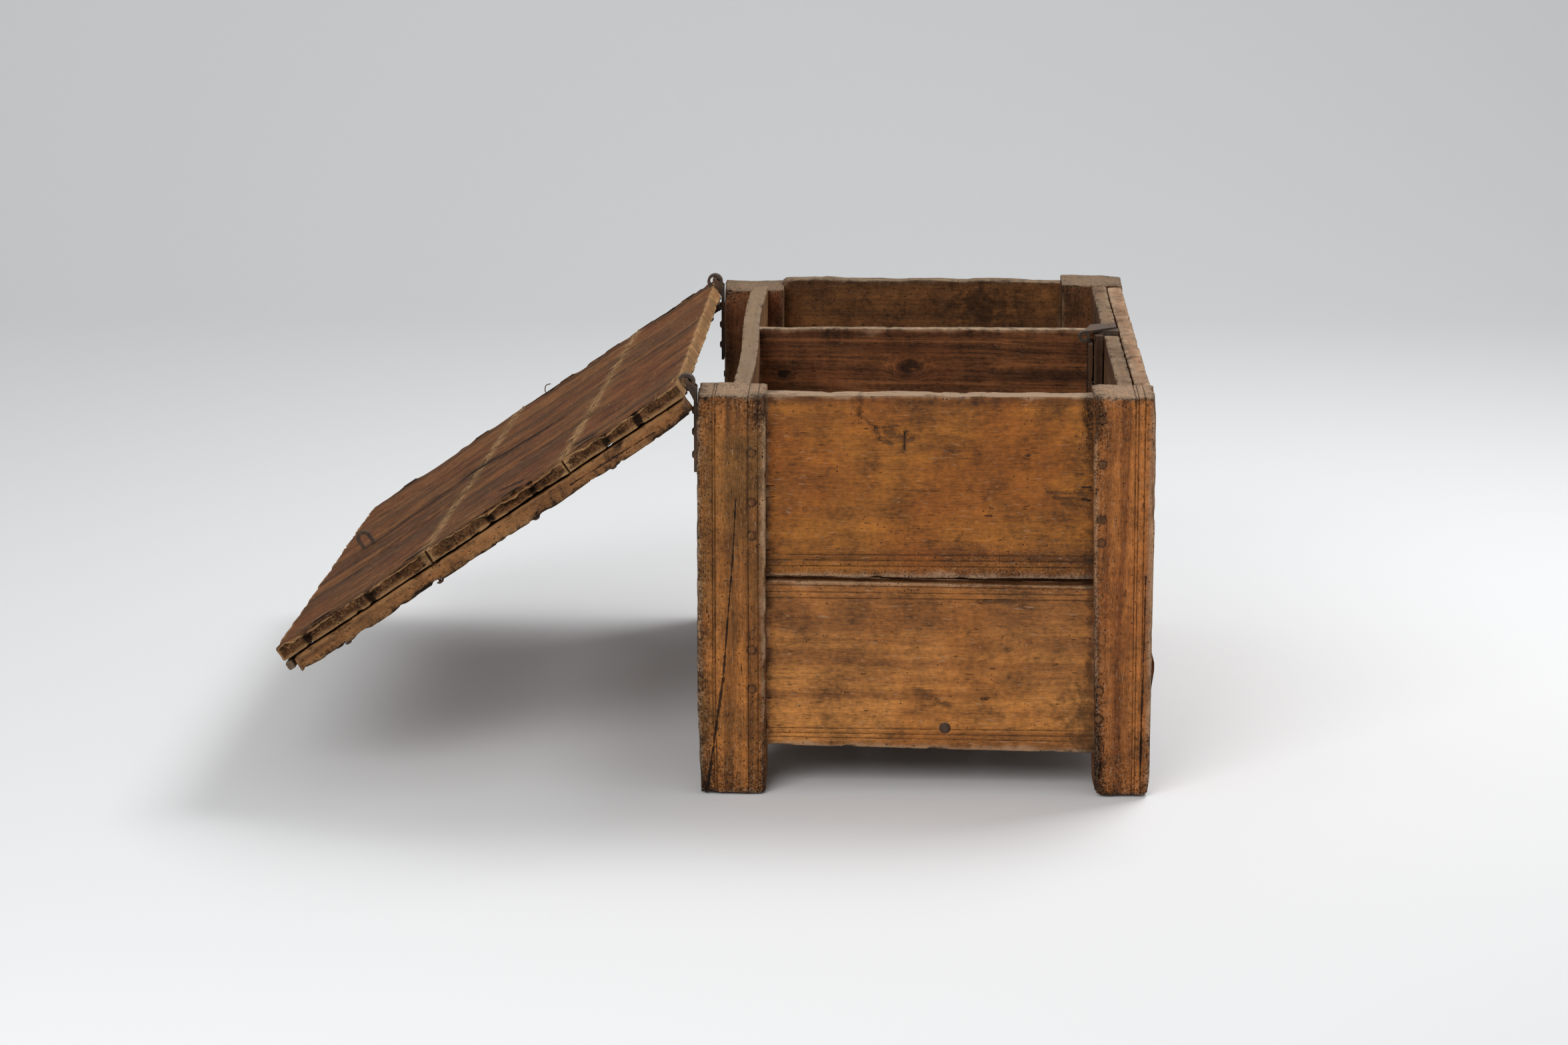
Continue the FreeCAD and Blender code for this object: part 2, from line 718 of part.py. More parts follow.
def lock_base():
    bottom = "post_height - lock_cheek_drop - lock_case_height"
    return group("lock_base", [
        block("lock_base_stock", (minus(FRONT_INNER_X[0], "lock_cheek_width"), FRONT_INNER_X[0]),
              (MORTISE_Y[0], DIVIDER_Y[0]), (bottom, bottom + " + lock_base_thickness"))])


def keyhole():
    """The way for the key, from the front into the lock."""
    x = (STAPLE_X, plus(FRONT_OUTER_X[1], "key_plate_thickness + cut_overrun"))
    bow = rod("keyhole_bow", "keyhole_radius", (x[0], KEY_Y, KEY_Z), minus(x[1], x[0]), "front")
    slot = block("keyhole_slot", x,
                 (minus(KEY_Y, "keyhole_slot_width / 2"), plus(KEY_Y, "keyhole_slot_width / 2")),
                 (minus(KEY_Z, "keyhole_slot_length"), KEY_Z))
    return union("keyhole_way", [bow, slot])


def lock_body(key_way):
    near = "staple_place + lock_body_room"
    stock = block("lock_body_stock",
                  (minus(FRONT_INNER_X[0], "lock_body_reach"), minus(FRONT_INNER_X[1], "lock_body_play")),
                  (near, minus(MORTISE_Y[1], "lock_body_play")),
                  (minus(SIDE_TOP, "mortise_depth"), SIDE_TOP))
    half = "bolt_stock / 2 + bolt_play"
    channel = block("lock_bolt_channel", (minus(STAPLE_X, half), plus(STAPLE_X, half)),
                    (minus(near, "cut_overrun"), plus(MORTISE_Y[1], "cut_overrun")),
                    (minus(BOLT_Z, half), plus(BOLT_Z, half)))
    return cut("lock_body", stock, [channel, key_way])


def lock_bolt():
    near = "staple_place + bolt_rest_room"
    half = "bolt_stock / 2"
    return group("lock_bolt", [
        block("lock_bolt_stock", (minus(STAPLE_X, half), plus(STAPLE_X, half)),
              (near, near + " + bolt_length"), (minus(BOLT_Z, half), plus(BOLT_Z, half)))])


def lock_plate(nails):
    """An iron plate over the lock, its near edge cut askew, its inner end rolled into an eye."""
    left = minus(FRONT_INNER_X[0], "lock_plate_reach")
    knee = plus(left, "lock_plate_knee")
    right = minus(FRONT_INNER_X[1], "lock_plate_margin")
    near = MORTISE_Y[0]
    knee_y = plus(near, "lock_eye_width / 2")
    corners = [
        (left, near),
        (knee, knee_y),
        (right, plus(near, "lock_plate_near_slant")),
        (right, plus(knee_y, "lock_plate_length + lock_plate_far_slant")),
        (knee, plus(knee_y, "lock_plate_length")),
        (left, plus(near, "lock_eye_width")),
    ]
    sheet_iron = drawn("lock_plate_sheet", "XY_Plane", corners, *PLATE_Z)
    eye_at = (left, near, plus("post_height", "-lock_eye_drop"))
    eye = cut("lock_plate_eye",
              rod("lock_plate_eye_outside", "lock_eye_radius", eye_at, "lock_eye_width", "far"),
              [rod("lock_plate_eye_bore", "lock_eye_bore_radius", eye_at, "lock_eye_width", "far")])
    return cut("lock_plate", union("lock_plate_whole", [sheet_iron, eye]), [nails])


def key_plate(nails, key_way):
    stock = block("key_plate_stock", (FRONT_OUTER_X[1], plus(FRONT_OUTER_X[1], "key_plate_thickness")),
                  (minus(KEY_Y, "key_plate_width / 2"), plus(KEY_Y, "key_plate_width / 2")),
                  (minus(KEY_Z, "key_plate_height / 2"), plus(KEY_Z, "key_plate_height / 2")))
    return cut("key_plate", stock, [key_way, nails])


# Hinge pieces

def chest_hinge(end, nails):
    """A plate on the post's back, with two knuckles that hold the pin behind the chest."""
    across = minus("-chest_width / 2", "hinge_plate_thickness")
    pin_z = hinge_z_at(hinge_y(end))
    half = "ring_width / 2 + knuckle_gap + knuckle_width"
    y = (minus(hinge_y(end), half), plus(hinge_y(end), half))
    top = pin_z + " - knuckle_depth"
    plate = block("%s_hinge_plate" % end, (across, "-chest_width / 2"), y,
                  (top + " - hinge_plate_height", top))
    pin = rod("%s_hinge_pin" % end, "hinge_pin_radius", (HINGE_X, y[0], pin_z), "2 * (%s)" % half, "far")
    corners = [
        (minus(HINGE_X, "hinge_pin_radius"), pin_z),
        (plus(HINGE_X, "hinge_pin_radius"), pin_z),
        ("-chest_width / 2", minus(pin_z, "knuckle_fall")),
        ("-chest_width / 2", minus(pin_z, "knuckle_fall + knuckle_depth")),
        (across, minus(pin_z, "knuckle_fall + knuckle_depth")),
    ]
    first = drawn("%s_hinge_near_knuckle" % end, "XZ_Plane", corners, y[0], plus(y[0], "knuckle_width"))
    second = drawn("%s_hinge_far_knuckle" % end, "XZ_Plane", corners, minus(y[1], "knuckle_width"), y[1])
    whole = union("%s_hinge_whole" % end, [plate, pin, first, second])
    return cut("%s_chest_hinge" % end, whole, [nails])


def lid_strap(end, nails):
    """A strap on the lid's outer face, its end turned down and rolled into a ring."""
    y = (minus(hinge_y(end), "ring_width / 2"), plus(hinge_y(end), "ring_width / 2"))
    middle = (RING_X, y[0], ring_z(end))
    top = plus(LID_TOP, "lid_strap_thickness")
    outside = rod("%s_ring_outside" % end, RING_RADIUS, middle, "ring_width", "far")
    bore = rod("%s_ring_bore" % end, "ring_bore_radius", middle, "ring_width", "far")
    bend = plus(RING_X, "ring_bore_radius")
    neck = block("%s_ring_neck" % end, (bend, plus(RING_X, RING_RADIUS)), y, (ring_z(end), top))
    flat = block("%s_strap_flat" % end, (bend, plus(RING_X, "lid_strap_length")), y, (LID_TOP, top))
    whole = cut("%s_strap_whole" % end, union("%s_strap_union" % end, [outside, neck, flat]), [bore])
    return cut("%s_lid_strap" % end, whole, [nails])


# Lid pieces

def hinge_notch(end):
    half = "ring_width / 2 + knuckle_gap + knuckle_width + lid_notch_side_play"
    return block("%s_hinge_notch" % end,
                 (minus(LID_BACK, "cut_overrun"), plus(RING_X, RING_RADIUS, "lid_notch_play")),
                 (minus(hinge_y(end), half), plus(hinge_y(end), half)),
                 (minus(LID_BOTTOM, "cut_overrun"), LID_TOP))


def low_side(joint):
    """The edge of a board that ends at a lengthwise joint of the lid, with the joint's gap left open."""
    return tuple(minus(place, "lid_joint_gap") for place in joint)


def lid_board(name, low_edge, high_edge, tools):
    corners = [(low_edge[0], LID_NEAR), (high_edge[0], LID_NEAR),
               (high_edge[1], LID_FAR), (low_edge[1], LID_FAR)]
    stock = drawn(name + "_stock", "XY_Plane", corners, LID_BOTTOM, LID_TOP)
    return cut(name, stock, tools)


def front_lid_board_loss():
    """What the lid's front board has lost at its far end."""
    return block("front_lid_board_loss",
                 (minus(SECOND_JOINT_X[1], "cut_overrun"), plus(LID_FRONT, "cut_overrun")),
                 (minus(LID_FAR, "front_lid_board_shortfall"), plus(LID_FAR, "cut_overrun")),
                 (minus(LID_BOTTOM, "cut_overrun"), plus(LID_TOP, "cut_overrun")))


def lid_batten(end, nails):
    stock = block("%s_lid_batten_stock" % end, batten_span_x(end), batten_span_y(end),
                  (LID_TOP, plus(LID_TOP, "batten_thickness")))
    return cut("%s_lid_batten" % end, stock, [nails])


def lid_nosing(nails):
    x = (minus(LID_FRONT, "nosing_width"), LID_FRONT)
    z = (LID_TOP, plus(LID_TOP, "nosing_thickness"))
    body = drawn("lid_nosing_stock", "XZ_Plane", rectangle(x, z), LID_NEAR, LID_FAR)

    half_way_up = size("post_height") + size("lid_thickness") + size("nosing_thickness") / 2

    def upper_edge(edge):
        box = edge.BoundBox
        return box.YLength > box.XLength + box.ZLength and box.ZMax > half_way_up
    return cut("lid_nosing", rounded(body, "nosing_round", upper_edge), [nails])


def staple_loop(name, half, bottom):
    """A filled U: two legs' width all the way up, round at its lower end."""
    y = (minus("staple_place", "staple_stock / 2"), plus("staple_place", "staple_stock / 2"))
    legs = block(name + "_legs", (minus(STAPLE_X, half), plus(STAPLE_X, half)), y,
                 (plus(bottom, half), LID_TOP))
    bend = rod(name + "_bend", half, (STAPLE_X, y[0], plus(bottom, half)), "staple_stock", "far")
    return union(name, [legs, bend])


def lid_staple():
    bottom = minus(LID_BOTTOM, "staple_hang")
    outer = staple_loop("staple_outside", "staple_outer_width / 2", bottom)
    inner = staple_loop("staple_inside", "staple_outer_width / 2 - staple_stock",
                        plus(bottom, "staple_stock"))
    return cut("lid_staple_whole", outer, [inner])


# Every piece is made, then the two bodies are placed

pegs = {end: end_pegs(end) for end in ENDS}
pegs.update({side: side_pegs(side) for side in SIDES})
nails = {
    "floor_nails": floor_nails(),
    "front_nails": front_nails(),
    "moulding_nails": moulding_nails(),
    "hinge_nails": hinge_nails(),
    "lid_strap_nails": lid_strap_nails(),
    "batten_nails": batten_nails(),
    "nosing_nails": nosing_nails(),
    "lock_nails": lock_nails(),
}
dowels = lid_dowels()
staple = lid_staple()
key_way = keyhole()
divider_board, housing = divider()

carcass = [
    divider_board,
    middle_cleat(),
    lock_cheek(nails["lock_nails"]),
    lock_cover(nails["lock_nails"]),
    lock_base(),
    lock_body(key_way),
    lock_plate(nails["lock_nails"]),
    key_plate(nails["lock_nails"], key_way),
    lock_bolt(),
    back_board("lower", [pegs["back"], housing, nails["floor_nails"]]),
    back_board("upper", [pegs["back"], housing]),
    front_inner_board("lower", [pegs["front"], housing, nails["front_nails"]]),
    front_inner_board("upper", [pegs["front"], housing, nails["front_nails"], lock_mortise(),
                                nails["lock_nails"]]),
    front_outer_board("lower", [nails["front_nails"], nails["moulding_nails"]]),
    front_outer_board("upper", [nails["front_nails"], nails["lock_nails"], key_way]),
    front_moulding([nails["moulding_nails"]]),
]
post_stock = {(side, end): post_block(side, end) for side in SIDES for end in ENDS}
for (side, end), stock in post_stock.items():
    fixings = [pegs[end], pegs[side]]
    if side == "back":
        fixings.append(nails["hinge_nails"])
    carcass.append(post(side, end, stock, fixings))
for index, name in enumerate(FLOOR_BOARDS):
    carcass.append(floor_board(index, name, list(post_stock.values()), nails["floor_nails"]))
for end in ENDS:
    carcass.append(end_board(end, "lower", [pegs[end], nails["floor_nails"]]))
    carcass.append(end_board(end, "upper", [pegs[end]]))
    carcass.append(floor_cleat(end))
    carcass.append(chest_hinge(end, nails["hinge_nails"]))
    carcass.append(group("%s_end_pegs" % end, [pegs[end]]))
for side in SIDES:
    carcass.append(group("%s_board_pegs" % side, [pegs[side]]))
for name in ("floor_nails", "front_nails", "moulding_nails", "hinge_nails", "lock_nails"):
    carcass.append(group(name, [nails[name]]))

notches = [hinge_notch(end) for end in ENDS]
fixings = [nails["batten_nails"], dowels]
lid = [
    lid_board("back_lid_board", (LID_BACK, LID_BACK), low_side(FIRST_JOINT_X),
              notches + fixings + [nails["lid_strap_nails"]]),
    lid_board("middle_lid_board", FIRST_JOINT_X, low_side(SECOND_JOINT_X), fixings),
    lid_board("front_lid_board", SECOND_JOINT_X, (LID_FRONT, LID_FRONT),
              fixings + [nails["nosing_nails"], staple, front_lid_board_loss()]),
    group("lid_staple", [staple]),
    lid_nosing(nails["nosing_nails"]),
    group("lid_dowels", [dowels]),
]
for end in ENDS:
    lid.append(lid_batten(end, nails["batten_nails"]))
    lid.append(lid_strap(end, nails["lid_strap_nails"]))
for name in ("lid_strap_nails", "batten_nails", "nosing_nails"):
    lid.append(group(name, [nails[name]]))
doc.recompute()

near_hinge = Vector(-size("chest_width") / 2 - size("hinge_offset"),
                    -size("chest_length") / 2 + size("hinge_inset"),
                    size("post_height") + size("near_hinge_rise"))
far_hinge = Vector(near_hinge.x, -near_hinge.y, size("post_height") + size("far_hinge_rise"))
opening = Placement(Vector(), Rotation(far_hinge - near_hinge, -size("lid_open_angle")), near_hinge)

# The footprint's middle goes to the origin: it lies between the open lid's edge and the moulding.
closed_edge = Vector(size("chest_width") / 2 + size("lid_front_overhang"),
                     -size("chest_length") / 2 - size("lid_overhang"),
                     size("post_height") + size("lid_seat_gap"))
open_edge = opening.multVec(closed_edge)
front_reach = size("chest_width") / 2 - size("front_setback") + size("moulding_depth")
far_reach = size("chest_length") / 2 + size("lid_overhang")
to_middle = Vector(-(open_edge.x + front_reach) / 2, -(open_edge.y + far_reach) / 2, 0)
to_frame = Placement(to_middle, Rotation())

for piece in carcass:
    piece.Placement = to_frame
for piece in lid:
    piece.Placement = to_frame.multiply(opening)
doc.recompute()

for thing in doc.Objects:
    if "Invalid" in thing.State or "Error" in thing.State:
        raise RuntimeError("%s is in state %s" % (thing.Name, thing.State))
os.makedirs("parts", exist_ok=True)
for piece in carcass + lid:
    if piece.Shape.isNull() or not piece.Shape.isValid() or piece.Shape.Volume <= 0:
        raise RuntimeError("%s has no sound shape" % piece.Label)
    piece.Shape.exportStep("parts/%s.step" % piece.Label)
print("%d pieces written" % len(carcass + lid))
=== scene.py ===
import itertools
import json
import math

import bpy
import numpy as np
from mathutils import Matrix, Vector

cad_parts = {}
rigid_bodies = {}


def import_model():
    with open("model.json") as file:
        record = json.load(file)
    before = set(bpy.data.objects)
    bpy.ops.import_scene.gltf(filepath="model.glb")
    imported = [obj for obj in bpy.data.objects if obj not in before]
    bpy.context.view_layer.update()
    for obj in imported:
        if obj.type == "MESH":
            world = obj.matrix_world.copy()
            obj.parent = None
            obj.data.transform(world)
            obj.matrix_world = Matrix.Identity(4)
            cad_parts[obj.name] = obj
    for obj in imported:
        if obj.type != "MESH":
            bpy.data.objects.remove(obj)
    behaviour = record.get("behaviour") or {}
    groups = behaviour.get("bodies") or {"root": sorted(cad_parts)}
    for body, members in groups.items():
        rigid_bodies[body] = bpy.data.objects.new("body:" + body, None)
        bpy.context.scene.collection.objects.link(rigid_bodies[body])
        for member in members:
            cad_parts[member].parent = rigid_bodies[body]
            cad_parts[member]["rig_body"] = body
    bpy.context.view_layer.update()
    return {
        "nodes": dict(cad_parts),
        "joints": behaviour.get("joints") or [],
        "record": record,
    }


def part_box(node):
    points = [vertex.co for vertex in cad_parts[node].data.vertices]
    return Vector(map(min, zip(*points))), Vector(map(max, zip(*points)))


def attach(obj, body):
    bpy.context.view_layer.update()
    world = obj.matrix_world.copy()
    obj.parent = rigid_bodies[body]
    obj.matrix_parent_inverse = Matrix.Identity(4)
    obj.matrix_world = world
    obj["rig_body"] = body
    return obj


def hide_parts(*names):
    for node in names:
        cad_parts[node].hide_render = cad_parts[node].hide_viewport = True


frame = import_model()

# An old cassone of wormy softwood. Each wooden piece is made in the closed chest's own metres,
# X from back to front, Y from the near end to the far end, Z up, and then put in its place.

HALF_WIDTH = 0.300
HALF_LENGTH = 0.500
POST_HEIGHT = 0.542
POST_WIDTH = 0.092
POST_DEPTH = 0.097
FAR_BACK_POST_WEAR = 0.010
FRONT_POST_TOP_WIDTH = 0.083
FRONT_POST_FOOT_WIDTH = 0.075

# Heights of the boards; the end boards stand a little higher than the side boards
LOWER_ROW = (0.060, 0.292)
UPPER_ROW = (0.294, 0.538)
UPPER_END_ROW = (0.294, 0.540)
FLOOR_BASE = 0.080
FLOOR_TOP = 0.098
DIVIDER_TOP = 0.536

# Faces of the boards: end boards and divider along Y, the others along X
END_FACE = 0.480
END_INNER = 0.451
BACK_BOARD = (-0.257, -0.232)
FRONT_INNER_BOARD = (0.252, 0.2745)
FRONT_OUTER_BOARD = (0.275, 0.2975)
FLOOR_JOINTS = (-0.232, -0.0707, 0.0907, 0.252)
DIVIDER = (0.037, 0.053)
DIVIDER_REACH = (-0.237, 0.257)

# Where the boards end in the posts; the near end's reach further, behind the narrower front post
BOARD_ENTRY = 0.004
SIDE_GAP = HALF_WIDTH - POST_WIDTH + BOARD_ENTRY
END_GAP = HALF_LENGTH - POST_DEPTH + BOARD_ENTRY
FRONT_REACH = 0.229
FRONT_SEEN = 0.219

# The lock's hole in the inner front board: along Y, and the height of its floor
LOCK_HOLE = (-0.011, 0.030)
LOCK_HOLE_FLOOR = 0.470

# The lid shut: its faces, and X at the near and the far end of the joints between its three boards
LID_INNER = 0.5423
LID_OUTER = 0.5643
LID_BACK = -0.311
LID_FRONT = 0.332
LID_END = 0.520
FIRST_JOINT = (-0.127, -0.163)
SECOND_JOINT = (0.091, 0.053)
JOINT_GAP = 0.0008
NOSING_BACK = 0.320
NOSING_HEIGHT = 0.014
BATTEN_WIDTH = 0.052
BATTEN_HEIGHT = 0.026
NEAR_BATTEN = (-0.3047, NOSING_BACK)
FAR_BATTEN = (-0.2948, NOSING_BACK)
NEAR_NAIL_SHARES = (0.207, 0.403, 0.649, 0.886)
FAR_NAIL_SHARES = (0.043, 0.167, 0.269, 0.408, 0.666, 0.886)
NAIL_FROM_MIDDLE = 0.494
CLENCH_LENGTH = 0.022

# Notches in the lid's back side for the two loop hinges: in them the side is drawn in to an edge
HINGE_FROM_MIDDLE = 0.450
NOTCH_HALF = 0.018
NOTCH_EDGE = -0.2992
NOTCH_DRAWN_FROM = -0.285

# Pegs through the near posts into the end boards
PEG_RADIUS = 0.0045
BACK_PEG_X = -0.227
FRONT_PEG_X = 0.230
BACK_PEG_HEIGHTS = (0.1458, 0.1992, 0.3530, 0.3973, 0.4637)
FRONT_PEG_HEIGHTS = (0.1076, 0.1458, 0.3457, 0.3771, 0.4507, 0.5095)

# Lines scratched along the posts and the end boards
LINE_WIDTH = 0.0014
LINE_DEPTH = 0.0011
BACK_POST_LINES = (-0.2785, -0.2752, -0.2318, -0.2190)
FRONT_POST_LINES = (0.2725, 0.2765, 0.2850)
UPPER_LINES = (0.3090, 0.3165, 0.3238)
LOWER_LINES = (0.2838, 0.2740, 0.2655, 0.0868, 0.0798, 0.0735)

# What is worked out with each worn mesh and stored at its points, for its finish
PAINTED = ("edge", "top", "rot", "soil", "dim")

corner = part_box("near_back_post")[0]
IN_PLACE = Matrix.Translation(Vector((corner[0] + HALF_WIDTH, corner[1] + HALF_LENGTH, 0)))
slots = {part["node"]: part["material_slot"] for part in frame["record"]["subparts"]}
lid_joint = next(joint for joint in frame["joints"] if joint["name"] == "lid_hinge")
hinge_point = Vector(lid_joint["pos_m"])
OPENED = Matrix.Rotation(-math.radians(lid_joint["range_deg"][1]), 4, Vector(lid_joint["axis"]))
LID_IN_PLACE = Matrix.Translation(hinge_point) @ OPENED @ Matrix.Translation(-hinge_point) @ IN_PLACE


# Shader maths

finishes = {}


class Value:
    """A shader socket that arithmetic adds nodes to."""

    def __init__(self, maker, socket):
        self.maker = maker
        self.socket = socket

    def _with(self, operation, first, second):
        return self.maker.value("ShaderNodeMath", {"operation": operation}, {0: first, 1: second})

    def __add__(self, other):
        return self._with("ADD", self, other)

    __radd__ = __add__

    def __sub__(self, other):
        return self._with("SUBTRACT", self, other)

    def __rsub__(self, other):
        return self._with("SUBTRACT", other, self)

    def __mul__(self, other):
        return self._with("MULTIPLY", self, other)

    def __truediv__(self, other):
        return self._with("DIVIDE", self, other)

    def root(self):
        return self._with("SQRT", self, 0.0)

    def at_least(self, other):
        return self._with("MAXIMUM", self, other)

    def below(self, other):
        return self._with("LESS_THAN", self, other)

    def between(self, low, high, start=0.0, end=1.0):
        """A smooth step from start, where this is low, to end, where it is high."""
        return self.maker.value("ShaderNodeMapRange", {"interpolation_type": "SMOOTHSTEP"},
                                {"Value": self, "From Min": low, "From Max": high,
                                 "To Min": start, "To Max": end})


class Finish:
    """One material and the nodes it is made of."""

    def __init__(self, name):
        self.material = finishes[name] = bpy.data.materials.new(name)
        self.material.use_nodes = True
        self.tree = self.material.node_tree
        self.tree.nodes.clear()
        self.shader = self.node("ShaderNodeBsdfPrincipled", {}, {})
        self.node("ShaderNodeOutputMaterial", {}, {"Surface": self.shader.outputs[0]})
        place = self.node("ShaderNodeTexCoord", {}, {})
        self.place = Value(self, place.outputs["Object"])
        parts = self.node("ShaderNodeSeparateXYZ", {}, {"Vector": self.place})
        self.x, self.y, self.z = (Value(self, parts.outputs[i]) for i in range(3))

    def node(self, kind, settings, sockets):
        node = self.tree.nodes.new(kind)
        for name, setting in settings.items():
            setattr(node, name, setting)
        for name, given in sockets.items():
            socket = node.inputs[name]
            if isinstance(given, Value):
                given = given.socket
            if isinstance(given, bpy.types.NodeSocket):
                self.tree.links.new(given, socket)
            elif isinstance(given, tuple) and len(given) == 3 and socket.type == "RGBA":
                socket.default_value = given + (1.0,)
            else:
                socket.default_value = given
        return node

    def value(self, kind, settings, sockets, output=0):
        return Value(self, self.node(kind, settings, sockets).outputs[output])

    def vector(self, x, y, z):
        return self.value("ShaderNodeCombineXYZ", {}, {0: x, 1: y, 2: z})

    def noise(self, vector, scale, detail=2.0, roughness=0.5):
        sockets = {"Vector": vector, "Scale": scale, "Detail": detail, "Roughness": roughness}
        return self.value("ShaderNodeTexNoise", {}, sockets)

    def mix(self, amount, first, second, blend="MIX"):
        return self.value("ShaderNodeMix", {"data_type": "RGBA", "blend_type": blend},
                          {0: amount, 6: first, 7: second}, output=2)

    def painted(self, name):
        """A value that was worked out with the mesh and stored at its points."""
        return self.value("ShaderNodeAttribute", {"attribute_name": name}, {}, output=2)

    def done(self, colour, roughness, height, depth, metallic=0.0):
        bump = self.value("ShaderNodeBump", {}, {"Strength": 1.0, "Distance": depth, "Height": height})
        for name, given in (("Base Color", colour), ("Roughness", roughness), ("Normal", bump),
                            ("Metallic", metallic)):
            socket = self.shader.inputs[name]
            if isinstance(given, Value):
                self.tree.links.new(given.socket, socket)
            else:
                socket.default_value = given + (1.0,) if isinstance(given, tuple) else given


def distance(first, *others):
    """The distance that offsets along different axes make up."""
    return sum((offset * offset for offset in others), first * first).root()


def tone(red, green, blue):
    """A colour as it is seen, from 0 to 255, for the shader."""
    def linear(channel):
        share = channel / 255
        return share / 12.92 if share < 0.04045 else ((share + 0.055) / 1.055) ** 2.4
    return (linear(red), linear(green), linear(blue))


SOOT_AND_SHADE = tone(30, 20, 13)
CRUMB_SHADOW = tone(30, 19, 12)
SEAM_SHADOW = tone(44, 28, 18)
KNOT = tone(40, 23, 14)
BRUISE = tone(58, 38, 22)
PEG_DIRT = tone(38, 25, 16)
HOLE = tone(18, 11, 7)

# Worm holes of two sizes: cells per metre, radius as a share of a cell, and how many cells have one
HOLE_KINDS = ((225.0, 0.24, 1.0), (420.0, 0.26, 0.8))


class Wood(Finish):
    """Old wood with its grain along one axis; each method adds one kind of growth, wear or damage, and some
    paint shade too.
    """

    def __init__(self, name, along, face, coarse, seed):
        super().__init__(name)
        self.axes = [self.x, self.y, self.z]
        self.face = face
        self.length = self.axes[along]
        self.first, self.second = [self.axes[i] for i in range(3) if i != along]
        self.coarse = coarse
        self.seed = seed
        self.sway = self.noise(self.vector(self.length * 1.6 + seed, self.first * 5.0, self.second * 5.0),
                               1.0, 3.0) - 0.5
        self.shift = self.sway * 0.03
        self.edge, self.top, self.rot, self.soil, self.dim = (self.painted(label) for label in PAINTED)

    def grain(self, across_per_metre, along_per_metre, detail=2.0):
        """Noise drawn out along the grain, which bends round the knots."""
        across = ((axis + self.shift) * across_per_metre for axis in (self.first, self.second))
        return self.noise(self.vector(self.length * along_per_metre + self.seed, *across), 1.0, detail, 0.6)

    def from_line(self, start_across, start_up, end_across, end_up):
        """Distance from a line that is drawn on the face between two points."""
        across, up = self.face
        reach = (end_across - start_across, end_up - start_up)
        away = (self.axes[across] - start_across, self.axes[up] - start_up)
        run = (away[0] * reach[0] + away[1] * reach[1]) / (reach[0] ** 2 + reach[1] ** 2)
        run = self.value("ShaderNodeClamp", {}, {"Value": run})
        return distance(away[0] - run * reach[0], away[1] - run * reach[1])

    def tint(self, amount, colour):
        self.colour = self.mix(amount, self.colour, colour)

    def grow(self, light, dark, stain, ribs, streaky, knots):
        """Bands, streaks and fibres, with the knots that they bend round."""
        self.core = None
        for along, first, second, radius in knots:
            gap = distance((self.length - along) * 0.6, self.first - first, self.second - second)
            self.shift += gap.between(0.0, radius * 2.6, 1.0, 0.0) * radius * 1.6
            eye = (gap + self.sway * radius * 2.0).between(radius * 0.3, radius * 1.1, 1.0, 0.0)
            self.core = eye if self.core is None else self.core.at_least(eye)
        bands = self.grain(42.0 / self.coarse, 0.9, 3.0)
        self.streaks = self.grain(150.0 / self.coarse, 7.0)
        self.fibres = self.grain(620.0 / self.coarse, 34.0)
        hairs = self.grain(1400.0, 110.0, 1.0)
        self.patches = self.noise(self.place, 7.0, 3.0, 0.55)
        self.clouds = self.noise(self.place, 24.0, 4.0, 0.62)
        self.specks = self.noise(self.place, 160.0, 2.0, 0.6)
        self.crust = self.noise(self.place, 75.0, 3.0, 0.68)
        self.crumbs = self.noise(self.place, 330.0, 3.0, 0.7)

        self.colour = self.mix(bands.between(0.34, 0.66), dark, light)
        self.tint(self.patches.between(0.42, 0.66) * 0.6, stain)
        self.shade = (1.0 + (self.clouds - 0.5) * 2.0 + (self.fibres - 0.5) + (hairs - 0.5) * 1.2
                      + (self.specks - 0.5) + (self.streaks - 0.5) * streaky)
        if ribs:
            yearly = self.grain(230.0, 1.2, 1.0).between(0.42, 0.58)
            self.shade += (yearly - 0.5) * ribs
        self.colour = self.mix(1.0, self.colour, self.shade.at_least(0.12), "MULTIPLY")
        self.height = bands * 0.3 + self.streaks * 0.4 * streaky + self.fibres * 0.25 + self.specks * 0.3

    def wear(self, dark, pale, flecked, scratched):
        """Rubbed arrises and tops, flecks and scratches, and sides gone dark."""
        rubbed = (self.edge * 0.75 + self.clouds * 0.9 + self.streaks * 0.3 - 0.82).between(0.02, 0.36)
        self.tint(rubbed * 0.5, pale)
        self.tint(self.top * (0.35 + self.streaks * 0.7), pale)
        self.tint(self.grain(600.0 / self.coarse, 64.0, 1.0).between(0.66, 0.76) * flecked, pale)
        self.tint(self.dim, self.mix(1.0, dark, (self.shade * 0.9).at_least(0.12), "MULTIPLY"))
        askew = self.vector((self.length + self.second) * 1100.0, (self.length - self.second) * 26.0,
                            self.first * 26.0)
        self.tint(self.noise(askew, 1.0, 1.0).between(0.72, 0.80) * scratched, pale)

    def open_seams(self, seams, pale):
        """Joints whose sides are toothed, pale and dark by turns."""
        for line in seams:
            teeth = self.grain(170.0, 26.0, 2.0)
            seam = self.from_line(*line) + (self.clouds - 0.5) * 0.030
            seam = seam.between(0.004, 0.018, 1.0, 0.0)
            self.tint(seam * teeth.between(0.47, 0.57) * self.patches.between(0.38, 0.58, 0.2, 0.6), pale)
            self.tint(seam * teeth.between(0.46, 0.38) * 0.6, SEAM_SHADOW)
            self.height += seam * (teeth - 0.5) * 4.0

